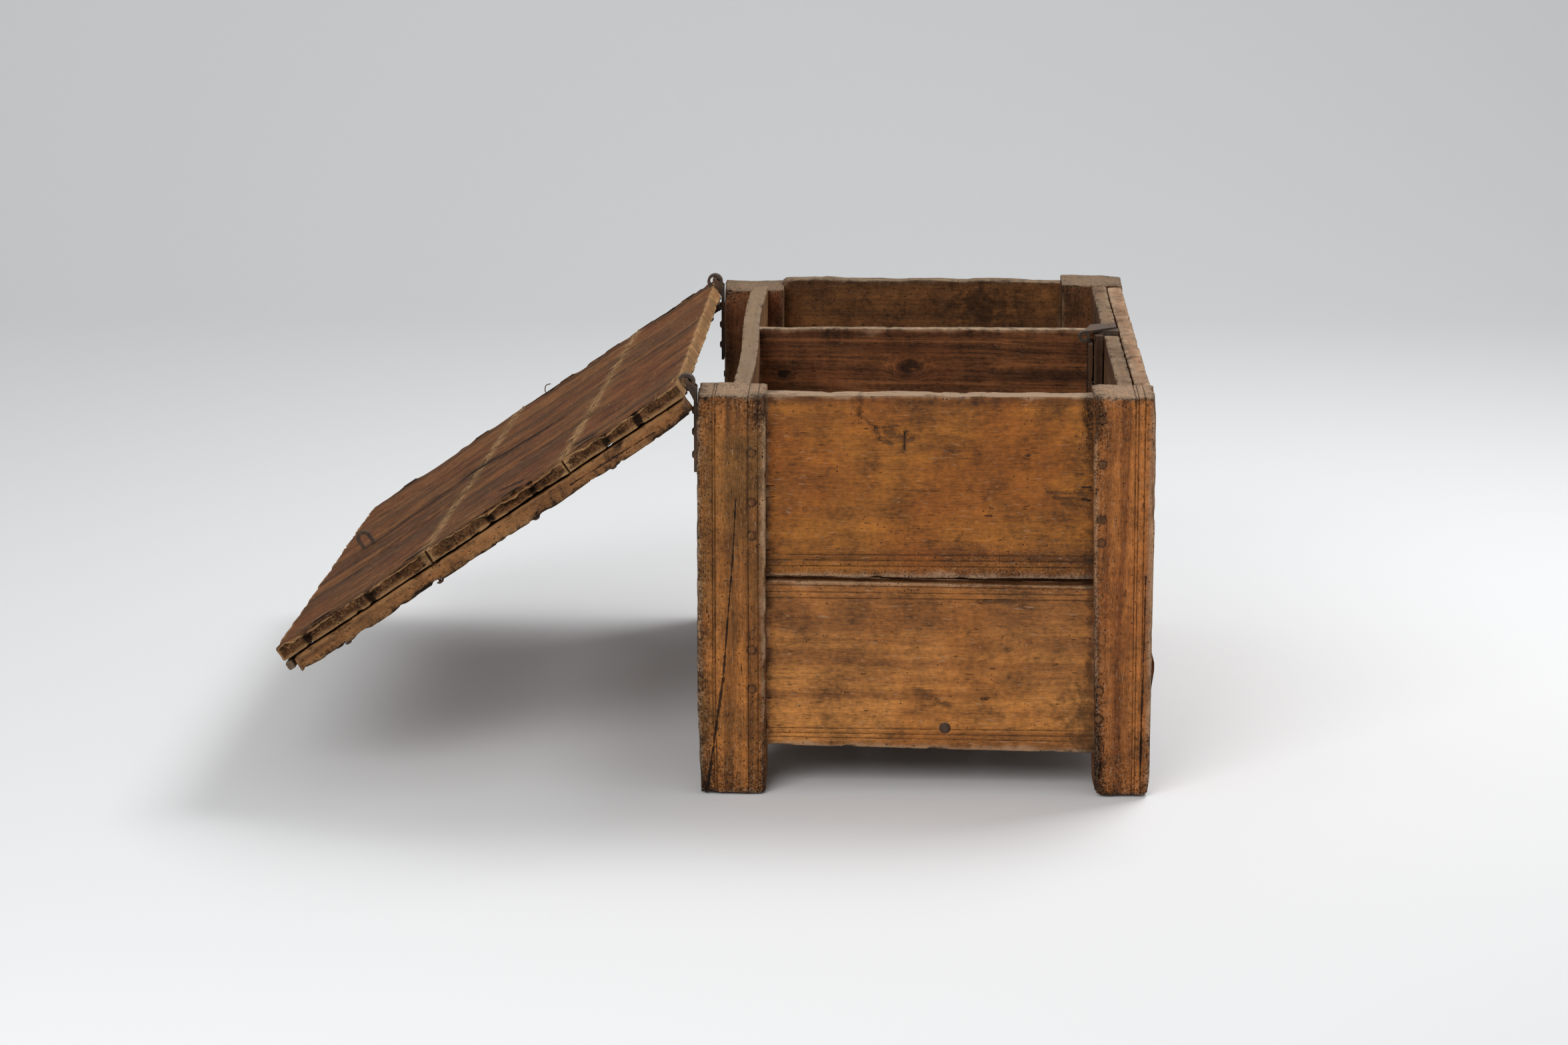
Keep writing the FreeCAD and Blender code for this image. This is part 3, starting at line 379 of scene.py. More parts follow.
    def decay_and_shade(self, pale, grime_and_shade):
        """Crumbling wood with painted shade in its hollows, and the darkening of soiling, which also
        carries painted shade in the corners beside the posts.
        """
        self.tint(self.crumbs.between(0.54, 0.70) * self.rot * 1.1, pale)
        self.tint(self.crumbs.between(0.50, 0.34) * self.rot * 1.7, CRUMB_SHADOW)
        self.height += self.crumbs * self.rot * 5.0
        # Soiling darkens towards soot; it also carries the painted shade in the corners beside the posts
        dirt_and_shade = self.crust * 0.95 + self.rot * 0.30 + self.soil * 0.42 + self.edge * 0.10
        self.dirt_and_shade = (dirt_and_shade - self.patches * 0.12).between(0.56, 0.88)
        self.tint(self.dirt_and_shade * grime_and_shade, SOOT_AND_SHADE)

    def darken_knots(self):
        """Dark, broken hearts to the knots."""
        if self.core is not None:
            core = self.core * (self.crust + (self.crumbs - 0.5) * 0.6).between(0.28, 0.52)
            self.tint(core * (0.55 + self.specks * 0.7), KNOT)
            self.height -= core * 0.4

    def bruise(self, bruises):
        """Dark and ragged marks."""
        for *line, width in bruises:
            gap = (self.from_line(*line) + (self.clouds - 0.5) * width * 2.6
                   + (self.fibres - 0.5) * width)
            mark = gap.between(width * 0.1, width, 1.0, 0.0)
            mark = mark * (self.crust + (self.crumbs - 0.5) * 0.8).between(0.36, 0.58)
            self.tint(mark * (0.2 + self.specks * 0.9), BRUISE)
            self.height -= mark * self.specks * 1.6

    def ring_pegs(self, x, heights):
        """Dirt round the ends of the pegs."""
        for height in heights:
            gap = distance(self.x - x, self.z - height) + (self.crumbs - 0.5) * PEG_RADIUS * 2.4
            self.tint(gap.between(PEG_RADIUS, PEG_RADIUS * 1.9, 0.85, 0.0), PEG_DIRT)

    def bore(self, worm, cracks):
        """Worm holes of two sizes, short splits in the grain, and long cracks."""
        voids = self.grain(330.0, 42.0, 1.0).between(0.70, 0.76) * self.crust.between(0.46, 0.60) * 0.9
        for per_metre, radius, share in HOLE_KINDS:
            cells = self.node("ShaderNodeTexVoronoi", {}, {"Vector": self.place, "Scale": per_metre})
            lot = self.value("ShaderNodeSeparateColor", {}, {0: cells.outputs["Color"]})
            spread = self.rot * 0.9 + (self.clouds.between(0.50, 0.66) * 0.24 + 0.012) * worm
            hole = Value(self, cells.outputs["Distance"]).between(radius * 0.7, radius, 1.0, 0.0)
            voids = voids.at_least(hole * lot.below(spread * share))
        for *line, width in cracks:
            gap = (self.from_line(*line) + (self.crust - 0.5) * width * 2.2
                   + (self.clouds - 0.5) * 0.004 + (self.specks - 0.5) * 0.0016)
            voids = voids.at_least(gap.between(width * 0.35, width, 1.0, 0.0))
        self.tint(voids * 0.9, HOLE)
        self.height -= voids * 2.0

    def polished(self, gloss):
        """Finished with the shine of old wax."""
        roughness = 0.82 - gloss * 0.4 + self.streaks * 0.16 + self.dirt_and_shade * 0.12
        self.shader.inputs["Specular IOR Level"].default_value = 0.05 + gloss * 0.38
        self.done(self.colour, roughness, self.height, 0.0011)


def wood(name, along, light, dark, stain, pale, seed, coarse=1.0, worm=0.3, knots=(), cracks=(),
         bruises=(), pegs=(0.0, ()), seams=(), face=(0, 2), ribs=0.0, streaky=0.35, flecked=0.4,
         scratched=0.3, gloss=0.4, grime_and_shade=0.6):
    """Old wood with its grain along one axis; the four colours are as seen, from 0 to 255.

    knots are (along, across 1, across 2, radius). face is the pair of axes that cracks, bruises and seams
    are given in: seams, the joints with toothed sides, as the two coordinates of both their ends, and
    cracks and bruises with their width after that. pegs is the X of a row of pegs with soiling round them,
    and their heights. ribs is how strongly the yearly rings show.
    """
    light, dark, stain, pale = (tone(*colour) for colour in (light, dark, stain, pale))
    old = Wood(name, along, face, coarse, seed)
    old.grow(light, dark, stain, ribs, streaky, knots)
    old.wear(dark, pale, flecked, scratched)
    old.open_seams(seams, pale)
    old.decay_and_shade(pale, grime_and_shade)
    old.darken_knots()
    old.bruise(bruises)
    old.ring_pegs(*pegs)
    old.bore(worm, cracks)
    old.polished(gloss)


def iron(name, dark, rust, sheen):
    """Forged iron, rusted and rubbed; the three colours are as seen, from 0 to 255."""
    dark, rust, sheen = (tone(*colour) for colour in (dark, rust, sheen))
    finish = Finish(name)
    lumps = finish.noise(finish.place, 60.0, 4.0, 0.65)
    specks = finish.noise(finish.place, 320.0, 3.0, 0.7)
    colour = finish.mix(lumps.between(0.42, 0.66), dark, rust)
    colour = finish.mix(specks.between(0.58, 0.72) * 0.5, colour, sheen)
    rub = lumps.between(0.35, 0.65)
    finish.done(colour, 0.5 + rub * 0.3, lumps * 1.4 + specks * 0.6, 0.0009, 0.3 - rub * 0.25)


# Worn boards

def noise(points, size, seed):
    """Smooth noise from -1 to 1 at each point, its lumps about this size along each axis."""
    grid = points / np.asarray(size) + seed * 7.31
    cell = np.floor(grid).astype(np.int64)
    share = grid - cell
    share = share * share * (3.0 - 2.0 * share)
    total = np.zeros(len(points))
    for corner in itertools.product((0, 1), repeat=3):
        at = cell + corner
        mixed = (at[:, 0] * 73856093) ^ (at[:, 1] * 19349663) ^ (at[:, 2] * 83492791) ^ (seed * 49979687)
        mixed = ((mixed ^ (mixed >> 13)) * 1274126177) & 0x7FFFFFFF
        mixed = ((mixed ^ (mixed >> 15)) * 668265263) & 0x7FFFFFFF
        weight = np.prod(np.where(np.array(corner) == 1, share, 1.0 - share), axis=1)
        total += weight * ((mixed >> 8 & 0xFFFF) / 32767.5 - 1.0)
    return total


def step(low, high, values):
    """A smooth step from 0, at low, to 1, at high."""
    share = np.clip((values - low) / (high - low), 0.0, 1.0)
    return share * share * (3.0 - 2.0 * share)


def fade(away, reach):
    """1 at no distance, and less and less further away, over about this reach."""
    return np.exp(-away / reach)


def lattice(low, high, cell, grooves):
    """Points and square faces over a box, closer together beside its edges and its grooves."""
    runs = []
    for axis, (start, end) in enumerate(zip(low, high)):
        rim = min(0.005, (end - start) * 0.3)
        count = max(1, round((end - start - 2 * rim) / cell))
        inner = np.linspace(start + rim, end - rim, count + 1)
        run = np.concatenate(([start, start + rim * 0.45], inner, [end - rim * 0.45, end]))
        for groove_axis, place, width, depth in grooves:
            if groove_axis == axis:
                run = run[(np.abs(run - place) > width * 1.2) | (run == start) | (run == end)]
                run = np.concatenate((run, place + width * np.array((-0.75, -0.25, 0.25, 0.75))))
        runs.append(np.sort(run))
    points = []
    faces = []
    total = 0
    for axis in range(3):
        first, second = [i for i in range(3) if i != axis]
        across, along = np.meshgrid(runs[first], runs[second], indexing="ij")
        rows, columns = across.shape
        index = np.arange(rows * columns).reshape(rows, columns)
        corners = [index[:-1, :-1], index[1:, :-1], index[1:, 1:], index[:-1, 1:]]
        quads = np.stack(corners, axis=-1).reshape(-1, 4)
        for place, turned in ((low[axis], axis != 1), (high[axis], axis == 1)):
            sheet = np.empty((rows * columns, 3))
            sheet[:, axis] = place
            sheet[:, first] = across.ravel()
            sheet[:, second] = along.ravel()
            points.append(sheet)
            faces.append((quads[:, ::-1] if turned else quads) + total)
            total += rows * columns
    points = np.concatenate(points)
    merged, places = np.unique(np.round(points, 7), axis=0, return_inverse=True)
    return merged, places.ravel()[np.concatenate(faces)]


class Timber:
    """A worn block of wood: points, outward directions and what is painted at them.

    x, y and z are the block's lowest and highest values, cell the distance between its points and
    radius the rounding of its edges. grooves are (axis, place, width, depth), each cut all along the
    faces that its axis lies in.
    """

    def __init__(self, x, y, z, cell, radius, seed, along=0, rough=1.0, worn_top=0.0, rot=0.0, grooves=()):
        self.low, self.high = np.array((x, y, z), float).T
        self.seed = seed
        flat, self.faces = lattice(self.low, self.high, cell, grooves)
        least = (self.high - self.low).min() * 0.45
        uneven = 1.0 + 0.9 * noise(flat, 0.035, seed) + 0.5 * noise(flat, 0.011, seed + 1)
        curve = np.clip(radius * uneven, radius * 0.3, least)[:, None]
        core = np.clip(flat, self.low + curve, self.high - curve)
        out = flat - core
        reach = np.linalg.norm(out, axis=1, keepdims=True)
        self.out = out / np.maximum(reach, 1e-9)
        self.points = core + self.out * curve
        self.flat = flat
        self.x, self.y, self.z = flat.T
        sides = np.sort(np.minimum(flat - self.low, self.high - flat), axis=1)
        self.to_edge = sides[:, 1]
        self.edge = fade(self.to_edge, 0.007)
        self.top = np.zeros(len(flat))
        self.rot = np.full(len(flat), rot)
        self.soil = np.zeros(len(flat))
        self.dim = np.zeros(len(flat))
        grain = np.full(3, 0.012)
        grain[along] = 0.22
        self.push(-0.00030 * rough * (1.0 + noise(flat, grain, seed + 2)))
        self.push(-0.00045 * rough * (1.0 + noise(flat, 0.13, seed + 3)))
        chips = self.patches(0.016, seed + 4, 0.25, 0.75) * fade(self.to_edge, 0.005)
        self.push(-0.0026 * rough * chips)
        self.rot = self.rot + chips * 0.35
        for axis, place, width, depth in grooves:
            facing = 1.0 - np.abs(self.out[:, axis])
            waver = 1.0 + 0.5 * noise(flat, 0.02, seed + 8)
            cut = (np.abs(flat[:, axis] - place) < width * 0.5) * facing * waver
            self.push(-depth * cut)
            self.soil = self.soil + 1.1 * cut
        if worn_top:
            self.wear_top(worn_top)

    def patches(self, size, seed, low, high):
        """Patches about this size, from 0 where the noise is under low to 1 where it is over high."""
        return step(low, high, noise(self.flat, size, seed))

    def push(self, amount):
        """Move the points outward."""
        self.points += self.out * amount[:, None]

    def wear_top(self, depth):
        """The upper face, rubbed pale and hollow by use."""
        upward = step(0.45, 0.9, self.out[:, 2])
        near_top = fade(self.high[2] - self.z, 0.006)
        wide = noise(self.flat, 0.09, self.seed + 5)
        small = noise(self.flat, 0.028, self.seed + 6)
        dip = 0.5 + 0.5 * wide + 0.3 * small
        self.points[:, 2] -= depth * near_top * np.clip(dip, 0.0, 1.5)
        self.top = np.maximum(self.top, upward)

    def near(self, at, size):
        """How near each point is to a place, from 0 to 1, over this reach along each axis."""
        gap = (self.flat - at) / size
        return np.exp(-(gap ** 2).sum(axis=1) * 1.5)

    def bite(self, at, size, depth, seed=11):
        """Wood gone at a place: worn, broken or eaten away towards the inside."""
        share = self.near(at, size)
        ragged = 0.75 + 0.35 * noise(self.flat, 0.010, seed) + 0.25 * noise(self.flat, 0.004, seed + 1)
        self.push(-depth * share * np.clip(ragged, 0.0, 1.6))
        self.rot = self.rot + share * 0.6


def joined(timbers):
    """Blocks cut from one board, as one timber."""
    whole = timbers[0]
    for other in timbers[1:]:
        whole.faces = np.concatenate((whole.faces, other.faces + len(whole.points)))
        for label in ("points", "out", "flat", "x", "y", "z", "to_edge") + PAINTED:
            setattr(whole, label, np.concatenate((getattr(whole, label), getattr(other, label))))
    return whole


def made(name, points, faces, material, body, node_names, place, painted=None):
    """A finished piece from its points and faces, riding on its body in place of its nodes."""
    mesh = bpy.data.meshes.new(name)
    mesh.from_pydata([tuple(point) for point in points], [], [tuple(face) for face in faces])
    for label, values in (painted or {}).items():
        layer = mesh.attributes.new(label, "FLOAT", "POINT")
        layer.data.foreach_set("value", np.clip(values, 0.0, 1.0).astype(np.float32))
    mesh.polygons.foreach_set("use_smooth", np.ones(len(mesh.polygons), dtype=bool))
    mesh.materials.append(material)
    mesh.update()
    piece = bpy.data.objects.new(name, mesh)
    bpy.context.scene.collection.objects.link(piece)
    piece.matrix_world = place
    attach(piece, body)
    if node_names:
        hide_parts(*node_names)


def worn(timber, finish, node, name=""):
    """A worn piece of wood in place of one node, on the node's body."""
    body = frame["nodes"][node]["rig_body"]
    painted = {label: getattr(timber, label) for label in PAINTED}
    made("worn_" + (name or node), timber.points, timber.faces, finishes[finish], body, [node],
         LID_IN_PLACE if body == "lid" else IN_PLACE, painted)


# Finishes

PALE = (172, 146, 118)
GREYED = (136, 116, 92)
CASE_WEAR = (92, 66, 46)

wood("post wood, near back", 2, (160, 100, 46), (92, 55, 24), (112, 78, 38), PALE,
     worm=0.9, seed=1.0, pegs=(BACK_PEG_X, BACK_PEG_HEIGHTS),
     cracks=[(-0.2515, 0.330, -0.2650, 0.160, 0.0013), (-0.2650, 0.160, -0.2860, 0.010, 0.0024),
             (-0.2480, 0.400, -0.2515, 0.330, 0.0009)])
wood("post wood, near front", 2, (168, 104, 50), (108, 61, 27), (134, 77, 36), PALE,
     worm=0.55, seed=2.0, pegs=(FRONT_PEG_X, FRONT_PEG_HEIGHTS),
     cracks=[(0.2890, 0.300, 0.2860, 0.020, 0.0010)])
wood("post wood, far back", 2, (134, 92, 56), (84, 54, 32), (122, 62, 34), GREYED, worm=0.5, seed=3.0)
wood("post wood, far front", 2, (134, 92, 56), (84, 54, 32), (112, 68, 38), GREYED, worm=0.5, seed=4.0)
wood("end board wood, upper", 0, (142, 87, 30), (98, 56, 20), (124, 66, 18), PALE,
     coarse=1.6, worm=0.35, flecked=0.3, gloss=0.55, seed=5.0, knots=[(0.133, -0.480, 0.458, 0.0022)],
     bruises=[(-0.086, 0.535, -0.086, 0.512, 0.0075), (-0.088, 0.512, -0.067, 0.495, 0.0055),
              (-0.067, 0.495, -0.060, 0.480, 0.0045), (-0.060, 0.480, -0.045, 0.472, 0.0045),
              (-0.050, 0.488, -0.018, 0.480, 0.0090), (-0.027, 0.490, -0.028, 0.463, 0.0035),
              (-0.066, 0.494, -0.036, 0.497, 0.0030), (0.170, 0.402, 0.214, 0.398, 0.0045),
              (0.180, 0.393, 0.213, 0.389, 0.0040), (0.160, 0.409, 0.205, 0.408, 0.0040)],
     cracks=[(-0.0275, 0.488, -0.0280, 0.466, 0.0007), (0.205, 0.416, 0.216, 0.416, 0.0012),
             (0.206, 0.400, 0.216, 0.398, 0.0012), (-0.211, 0.415, -0.199, 0.416, 0.0009),
             (-0.211, 0.400, -0.195, 0.401, 0.0009)])
wood("end board wood, lower", 0, (176, 116, 56), (128, 80, 38), (140, 84, 34), PALE,
     coarse=1.6, gloss=0.55, seed=6.0, knots=[(0.110, -0.480, 0.196, 0.010)],
     bruises=[(-0.010, 0.140, 0.030, 0.120, 0.010), (0.070, 0.262, 0.120, 0.262, 0.004)])
wood("end board wood, far", 0, (128, 82, 43), (82, 52, 28), (96, 60, 31), GREYED,
     seed=7.0, bruises=[(0.060, 0.505, 0.130, 0.470, 0.030)])
wood("back board wood", 1, (136, 98, 62), (88, 58, 34), (112, 76, 44), GREYED, worm=0.35, seed=8.0)
wood("front board wood", 1, (134, 100, 68), (88, 60, 38), (110, 72, 44), GREYED, worm=0.4, seed=9.0)
wood("front board wood, outside", 1, (146, 94, 48), (102, 64, 33), (124, 72, 32), PALE,
     coarse=1.8, worm=0.35, flecked=0.3, gloss=0.5, seed=19.0)
wood("moulding wood", 1, (112, 70, 38), (70, 43, 24), (90, 53, 28), GREYED, seed=10.0)
wood("floor wood", 1, (118, 84, 52), (76, 52, 30), (94, 64, 38), GREYED, seed=11.0)
wood("divider pine", 0, (126, 78, 44), (78, 46, 25), (100, 56, 30), PALE,
     coarse=0.8, worm=0.1, ribs=0.5, flecked=0.2, scratched=0.5, seed=12.0,
     knots=[(-0.020, 0.037, 0.479, 0.0105), (-0.199, 0.037, 0.468, 0.0055)])
wood("lock case wood", 2, (70, 45, 29), (40, 25, 16), (52, 34, 22), CASE_WEAR, seed=13.0)
wood("lock cover wood", 2, (74, 49, 32), (43, 27, 18), (56, 37, 24), CASE_WEAR, seed=14.0)
wood("lid wood", 0, (124, 80, 44), (80, 52, 31), (106, 58, 29), (188, 148, 102),
     coarse=3.0, worm=0.25, gloss=0.12, grime_and_shade=0.95, streaky=0.5, flecked=0.45, scratched=1.0, seed=15.0,
     face=(0, 1),
     seams=[(FIRST_JOINT[0], -LID_END, FIRST_JOINT[1], LID_END),
            (SECOND_JOINT[0], -LID_END, SECOND_JOINT[1], LID_END)],
     cracks=[(0.262, -0.020, 0.180, 0.020, 0.0045), (0.180, 0.020, 0.091, 0.048, 0.0060),
             (0.091, 0.048, -0.052, 0.004, 0.0110), (0.098, 0.046, 0.084, 0.050, 0.0170),
             (-0.0136, -0.382, -0.056, -0.442, 0.0070), (-0.140, -0.438, -0.174, -0.462, 0.0070)],
     bruises=[(0.260, -0.010, 0.091, 0.048, 0.050), (0.091, 0.048, -0.060, 0.010, 0.036),
              (0.230, -0.180, 0.060, -0.150, 0.050), (-0.060, -0.200, -0.140, -0.200, 0.040)])
wood("batten wood", 0, (124, 82, 45), (72, 46, 26), (94, 56, 29), (152, 112, 72),
     worm=0.7, grime_and_shade=0.95, seed=16.0, cracks=[(-0.250, 0.580, -0.120, 0.577, 0.0013)])
wood("nosing wood", 1, (88, 60, 43), (48, 32, 23), (66, 44, 31), GREYED, seed=17.0)
wood("peg wood", 2, (122, 80, 42), (66, 42, 23), (92, 56, 29), PALE, worm=0.1, grime_and_shade=0.9, seed=18.0)
iron("forged iron", (66, 52, 40), (96, 66, 44), (150, 130, 110))
iron("nail iron", (70, 52, 39), (92, 66, 46), (124, 106, 88))


# Posts

def post(side, end, cell, seed, width=POST_WIDTH, lines=()):
    """A corner post; its outer faces are the chest's corner."""
    x = (-HALF_WIDTH, -HALF_WIDTH + width) if side == "back" else (HALF_WIDTH - width, HALF_WIDTH)
    y = (-HALF_LENGTH, -HALF_LENGTH + POST_DEPTH)
    if end == "far":
        y = (HALF_LENGTH - POST_DEPTH, HALF_LENGTH)
    top = POST_HEIGHT - (FAR_BACK_POST_WEAR if (side, end) == ("back", "far") else 0.0)
    timber = Timber(x, y, (0.0, top), cell, 0.0045, seed, along=2, rough=1.4, worn_top=0.004, rot=0.02,
                    grooves=[(0, place, LINE_WIDTH, LINE_DEPTH) for place in lines])
    timber.rot += 0.45 * fade(timber.z, 0.06) + 0.28 * fade(top - timber.z, 0.035)
    timber.rot += 0.22 * fade(timber.to_edge, 0.014)
    timber.soil += 0.15 * fade(timber.z, 0.05)
    feet = fade(timber.z, 0.016) * fade(timber.to_edge, 0.012)
    timber.push(-0.0016 * feet * (0.7 + 0.5 * noise(timber.flat, 0.02, seed + 20)))
    return timber


def mark_face(timber, y, bites, marks):
    """Bites, (x, z, reach along each axis, depth), and marks, (painted value, amount, x, z, reach)."""
    for x, z, reach, depth in bites:
        timber.bite((x, y, z), reach, depth)
    for label, amount, x, z, reach in marks:
        setattr(timber, label, getattr(timber, label) + amount * timber.near((x, y, z), reach))


near_back = post("back", "near", 0.0032, 31, lines=BACK_POST_LINES)
near_back.points[:, 0] += 0.003 * step(0.14, 0.0, near_back.z) * step(-0.24, -0.30, near_back.x)
mark_face(near_back, -HALF_LENGTH,
          bites=[(-0.300, 0.0, (0.018, 0.030, 0.024), 0.009), (-0.208, 0.030, (0.008, 0.014, 0.10), 0.005),
                 (-0.300, 0.542, (0.02, 0.03, 0.02), 0.007), (-0.208, 0.536, (0.016, 0.030, 0.022), 0.006)],
          marks=[("rot", 0.45, -0.214, 0.525, (0.028, 0.03, 0.045)),
                 ("top", 0.35, -0.212, 0.36, (0.006, 0.01, 0.14))])
outer_strip = fade(near_back.x + HALF_WIDTH, 0.012) * fade(near_back.y + HALF_LENGTH, 0.02)
near_back.push(-0.0010 * outer_strip * near_back.patches((0.007, 0.02, 0.013), 97, -0.3, 0.6))
near_back.rot += 0.38 * fade(near_back.x + HALF_WIDTH, 0.018)
worn(near_back, "post wood, near back", "near_back_post")

near_front = post("front", "near", 0.0032, 32, FRONT_POST_TOP_WIDTH, FRONT_POST_LINES)
narrowing = FRONT_POST_TOP_WIDTH - FRONT_POST_FOOT_WIDTH
lean = narrowing * np.clip(1.0 - near_front.points[:, 2] / POST_HEIGHT, 0.0, 1.0)
near_front.points[:, 0] += lean * (HALF_WIDTH - near_front.points[:, 0]) / FRONT_POST_TOP_WIDTH
mark_face(near_front, -HALF_LENGTH,
          bites=[(0.217, 0.040, (0.014, 0.018, 0.09), 0.008), (0.217, 0.520, (0.012, 0.016, 0.032), 0.009),
                 (0.300, 0.0, (0.010, 0.030, 0.02), 0.006), (0.300, 0.542, (0.010, 0.030, 0.014), 0.005)],
          marks=[("rot", 0.4, 0.222, 0.070, (0.014, 0.02, 0.12)),
                 ("rot", 0.5, 0.222, 0.515, (0.012, 0.03, 0.06)),
                 ("soil", 0.8, 0.222, 0.520, (0.010, 0.02, 0.035))])
near_front.rot += 0.25 * fade(near_front.x - 0.217, 0.012)
on_arris = near_front.to_edge < 0.010
near_front.top += 0.45 * near_front.near((0.294, -HALF_LENGTH, 0.35), (0.008, 0.02, 0.25)) * on_arris
worn(near_front, "post wood, near front", "near_front_post")

for side, seed in (("back", 33), ("front", 34)):
    far = post(side, "far", 0.0055, seed)
    if side == "back":
        far.bite((-0.300, 0.403, 0.532), (0.03, 0.03, 0.02), 0.008)
    worn(far, "post wood, far %s" % side, "far_%s_post" % side)


# End boards

def end_board(z, seed, lines, edges, worn_top=0.0):
    """A near end board; edges are (height, rise at the left, rise at the right) where one runs askew."""
    timber = Timber((-SIDE_GAP, FRONT_REACH), (-END_FACE, -END_INNER), z, 0.0032, 0.0028, seed,
                    worn_top=worn_top, grooves=[(2, place, LINE_WIDTH, LINE_DEPTH) for place in lines])
    # Painted shade, with some soiling, in the inside corners where the board meets the posts
    to_post = np.minimum(timber.x + SIDE_GAP, FRONT_SEEN - timber.x)
    timber.soil += 0.9 * fade(np.clip(to_post, 0.0, 1.0), 0.014)
    share = (timber.x + SIDE_GAP) / (SIDE_GAP + FRONT_SEEN)
    for edge, left, right in edges:
        timber.points[:, 2] += (left + (right - left) * share) * fade(np.abs(timber.z - edge), 0.020)
    return timber


near_upper = end_board(UPPER_END_ROW, 41, UPPER_LINES, [(UPPER_END_ROW[0], -0.0010, -0.0030)],
                       worn_top=0.003)
mark_face(near_upper, -END_FACE, bites=[(0.213, 0.515, (0.008, 0.012, 0.030), 0.007)],
          marks=[("rot", 0.55, 0.212, 0.500, (0.012, 0.02, 0.05)),
                 ("rot", 0.16, 0.12, 0.315, (0.12, 0.05, 0.05)),
                 ("soil", 0.35, 0.02, 0.530, (0.3, 0.05, 0.02))])
near_upper.rot += 0.34 * fade(near_upper.z - UPPER_END_ROW[0], 0.016)
knock = near_upper.near((-0.084, -END_FACE, 0.518), (0.012, 0.02, 0.022))
near_upper.push(-0.0018 * knock * (1.0 + noise(near_upper.flat, 0.006, 90)))
worn(near_upper, "end board wood, upper", "near_end_upper_board", "near_upper_end")

near_lower = end_board(LOWER_ROW, 42, LOWER_LINES,
                       [(LOWER_ROW[1], -0.0022, -0.0085), (LOWER_ROW[0], 0.0035, -0.0050)])
near_lower.soil += 0.5 * near_lower.near((0.19, -END_FACE, 0.10), (0.05, 0.05, 0.06))
near_lower.rot += 0.22 * fade(LOWER_ROW[1] - near_lower.z, 0.014)
near_lower.rot += 0.12 * fade(near_lower.z - LOWER_ROW[0], 0.014)
worn(near_lower, "end board wood, lower", "near_end_lower_board", "near_lower_end")

far_upper = Timber((-SIDE_GAP, SIDE_GAP), (END_INNER, END_FACE), UPPER_END_ROW, 0.0055, 0.005, 43,
                   worn_top=0.006, rot=0.1)
far_upper.soil += 0.35 + 0.4 * far_upper.near((0.09, END_INNER, 0.50), (0.06, 0.05, 0.04))
worn(far_upper, "end board wood, far", "far_end_upper_board", "far_upper_end")
far_lower = Timber((-SIDE_GAP, SIDE_GAP), (END_INNER, END_FACE), LOWER_ROW, 0.007, 0.003, 44)
worn(far_lower, "end board wood, far", "far_end_lower_board", "far_lower_end")


# Side boards

def stain_top(timber, seed):
    """Brown patches and knocks on a board's upper edge, where the pale wear stops."""
    patch = timber.patches((0.02, 0.05, 0.05), seed + 60, -0.5, 0.6)
    fine = timber.patches((0.007, 0.012, 0.02), seed + 61, -0.2, 0.8)
    timber.soil += timber.top * (0.25 * patch + 0.3 * fine + 0.4 * fade(timber.to_edge, 0.003))
    timber.rot += timber.top * 0.15 * fine
    timber.top *= 0.72 - 0.30 * patch - 0.12 * fine


for row, z, seed in (("lower", LOWER_ROW, 51), ("upper", UPPER_ROW, 52)):
    upper = row == "upper"
    back = Timber(BACK_BOARD, (-END_GAP, END_GAP), z, 0.006, 0.0035, seed, along=1,
                  worn_top=0.005 if upper else 0.0)
    if upper:
        sag = np.sin(np.clip((back.y + 0.40) / 0.80, 0.0, 1.0) * math.pi * 2.0)
        back.points[:, 0] += 0.003 * sag * step(0.35, 0.53, back.z)
    worn(back, "back board wood", "back_%s_board" % row, "back_" + row)

    spans = [((-END_GAP, END_GAP), z)]
    if upper:
        spans = [((-END_GAP, LOCK_HOLE[0]), z), ((LOCK_HOLE[1], END_GAP), z),
                 (LOCK_HOLE, (z[0], LOCK_HOLE_FLOOR))]
    inner = joined([Timber(FRONT_INNER_BOARD, y, heights, 0.006, 0.003, seed + 10, along=1,
                           worn_top=0.004 if heights[1] == UPPER_ROW[1] else 0.0) for y, heights in spans])
    stain_top(inner, seed)
    worn(inner, "front board wood", "front_inner_%s_board" % row, "front_inner_" + row)
    outer = Timber(FRONT_OUTER_BOARD, (-END_GAP + BOARD_ENTRY, END_GAP - BOARD_ENTRY), z, 0.006, 0.003,
                   seed + 20, along=1, worn_top=0.004 if upper else 0.0)
    stain_top(outer, seed + 1)
    worn(outer, "front board wood, outside", "front_outer_%s_board" % row, "front_outer_" + row)

# Divider, floor and lock case

divider = Timber(DIVIDER_REACH, DIVIDER, (FLOOR_TOP, DIVIDER_TOP), 0.005, 0.002, 61, worn_top=0.002)
handled = divider.near((0.1, DIVIDER[0], 0.46), (0.1, 0.1, 0.03))
divider.soil += 0.5 * fade(DIVIDER_TOP - divider.z, 0.02) + 0.3 * handled
worn(divider, "divider pine", "divider_board", "divider")

for index, node in enumerate(("back_floor_board", "middle_floor_board", "front_floor_board")):
    x = (FLOOR_JOINTS[index] + 0.0005, FLOOR_JOINTS[index + 1] - 0.001)
    plank = Timber(x, (-END_INNER, END_INNER), (FLOOR_BASE, FLOOR_TOP), 0.010, 0.002, 65 + index, along=1)
    worn(plank, "floor wood", node)
for node, x, y in (("near_floor_cleat", (-0.208, 0.208), (-END_INNER, -0.429)),
                   ("middle_floor_cleat", (-0.232, 0.252), (0.034, 0.056)),
                   ("far_floor_cleat", (-0.208, 0.208), (0.429, END_INNER))):
    cleat = Timber(x, y, (LOWER_ROW[0], FLOOR_BASE), 0.008, 0.002, 69)
    worn(cleat, "floor wood", node)

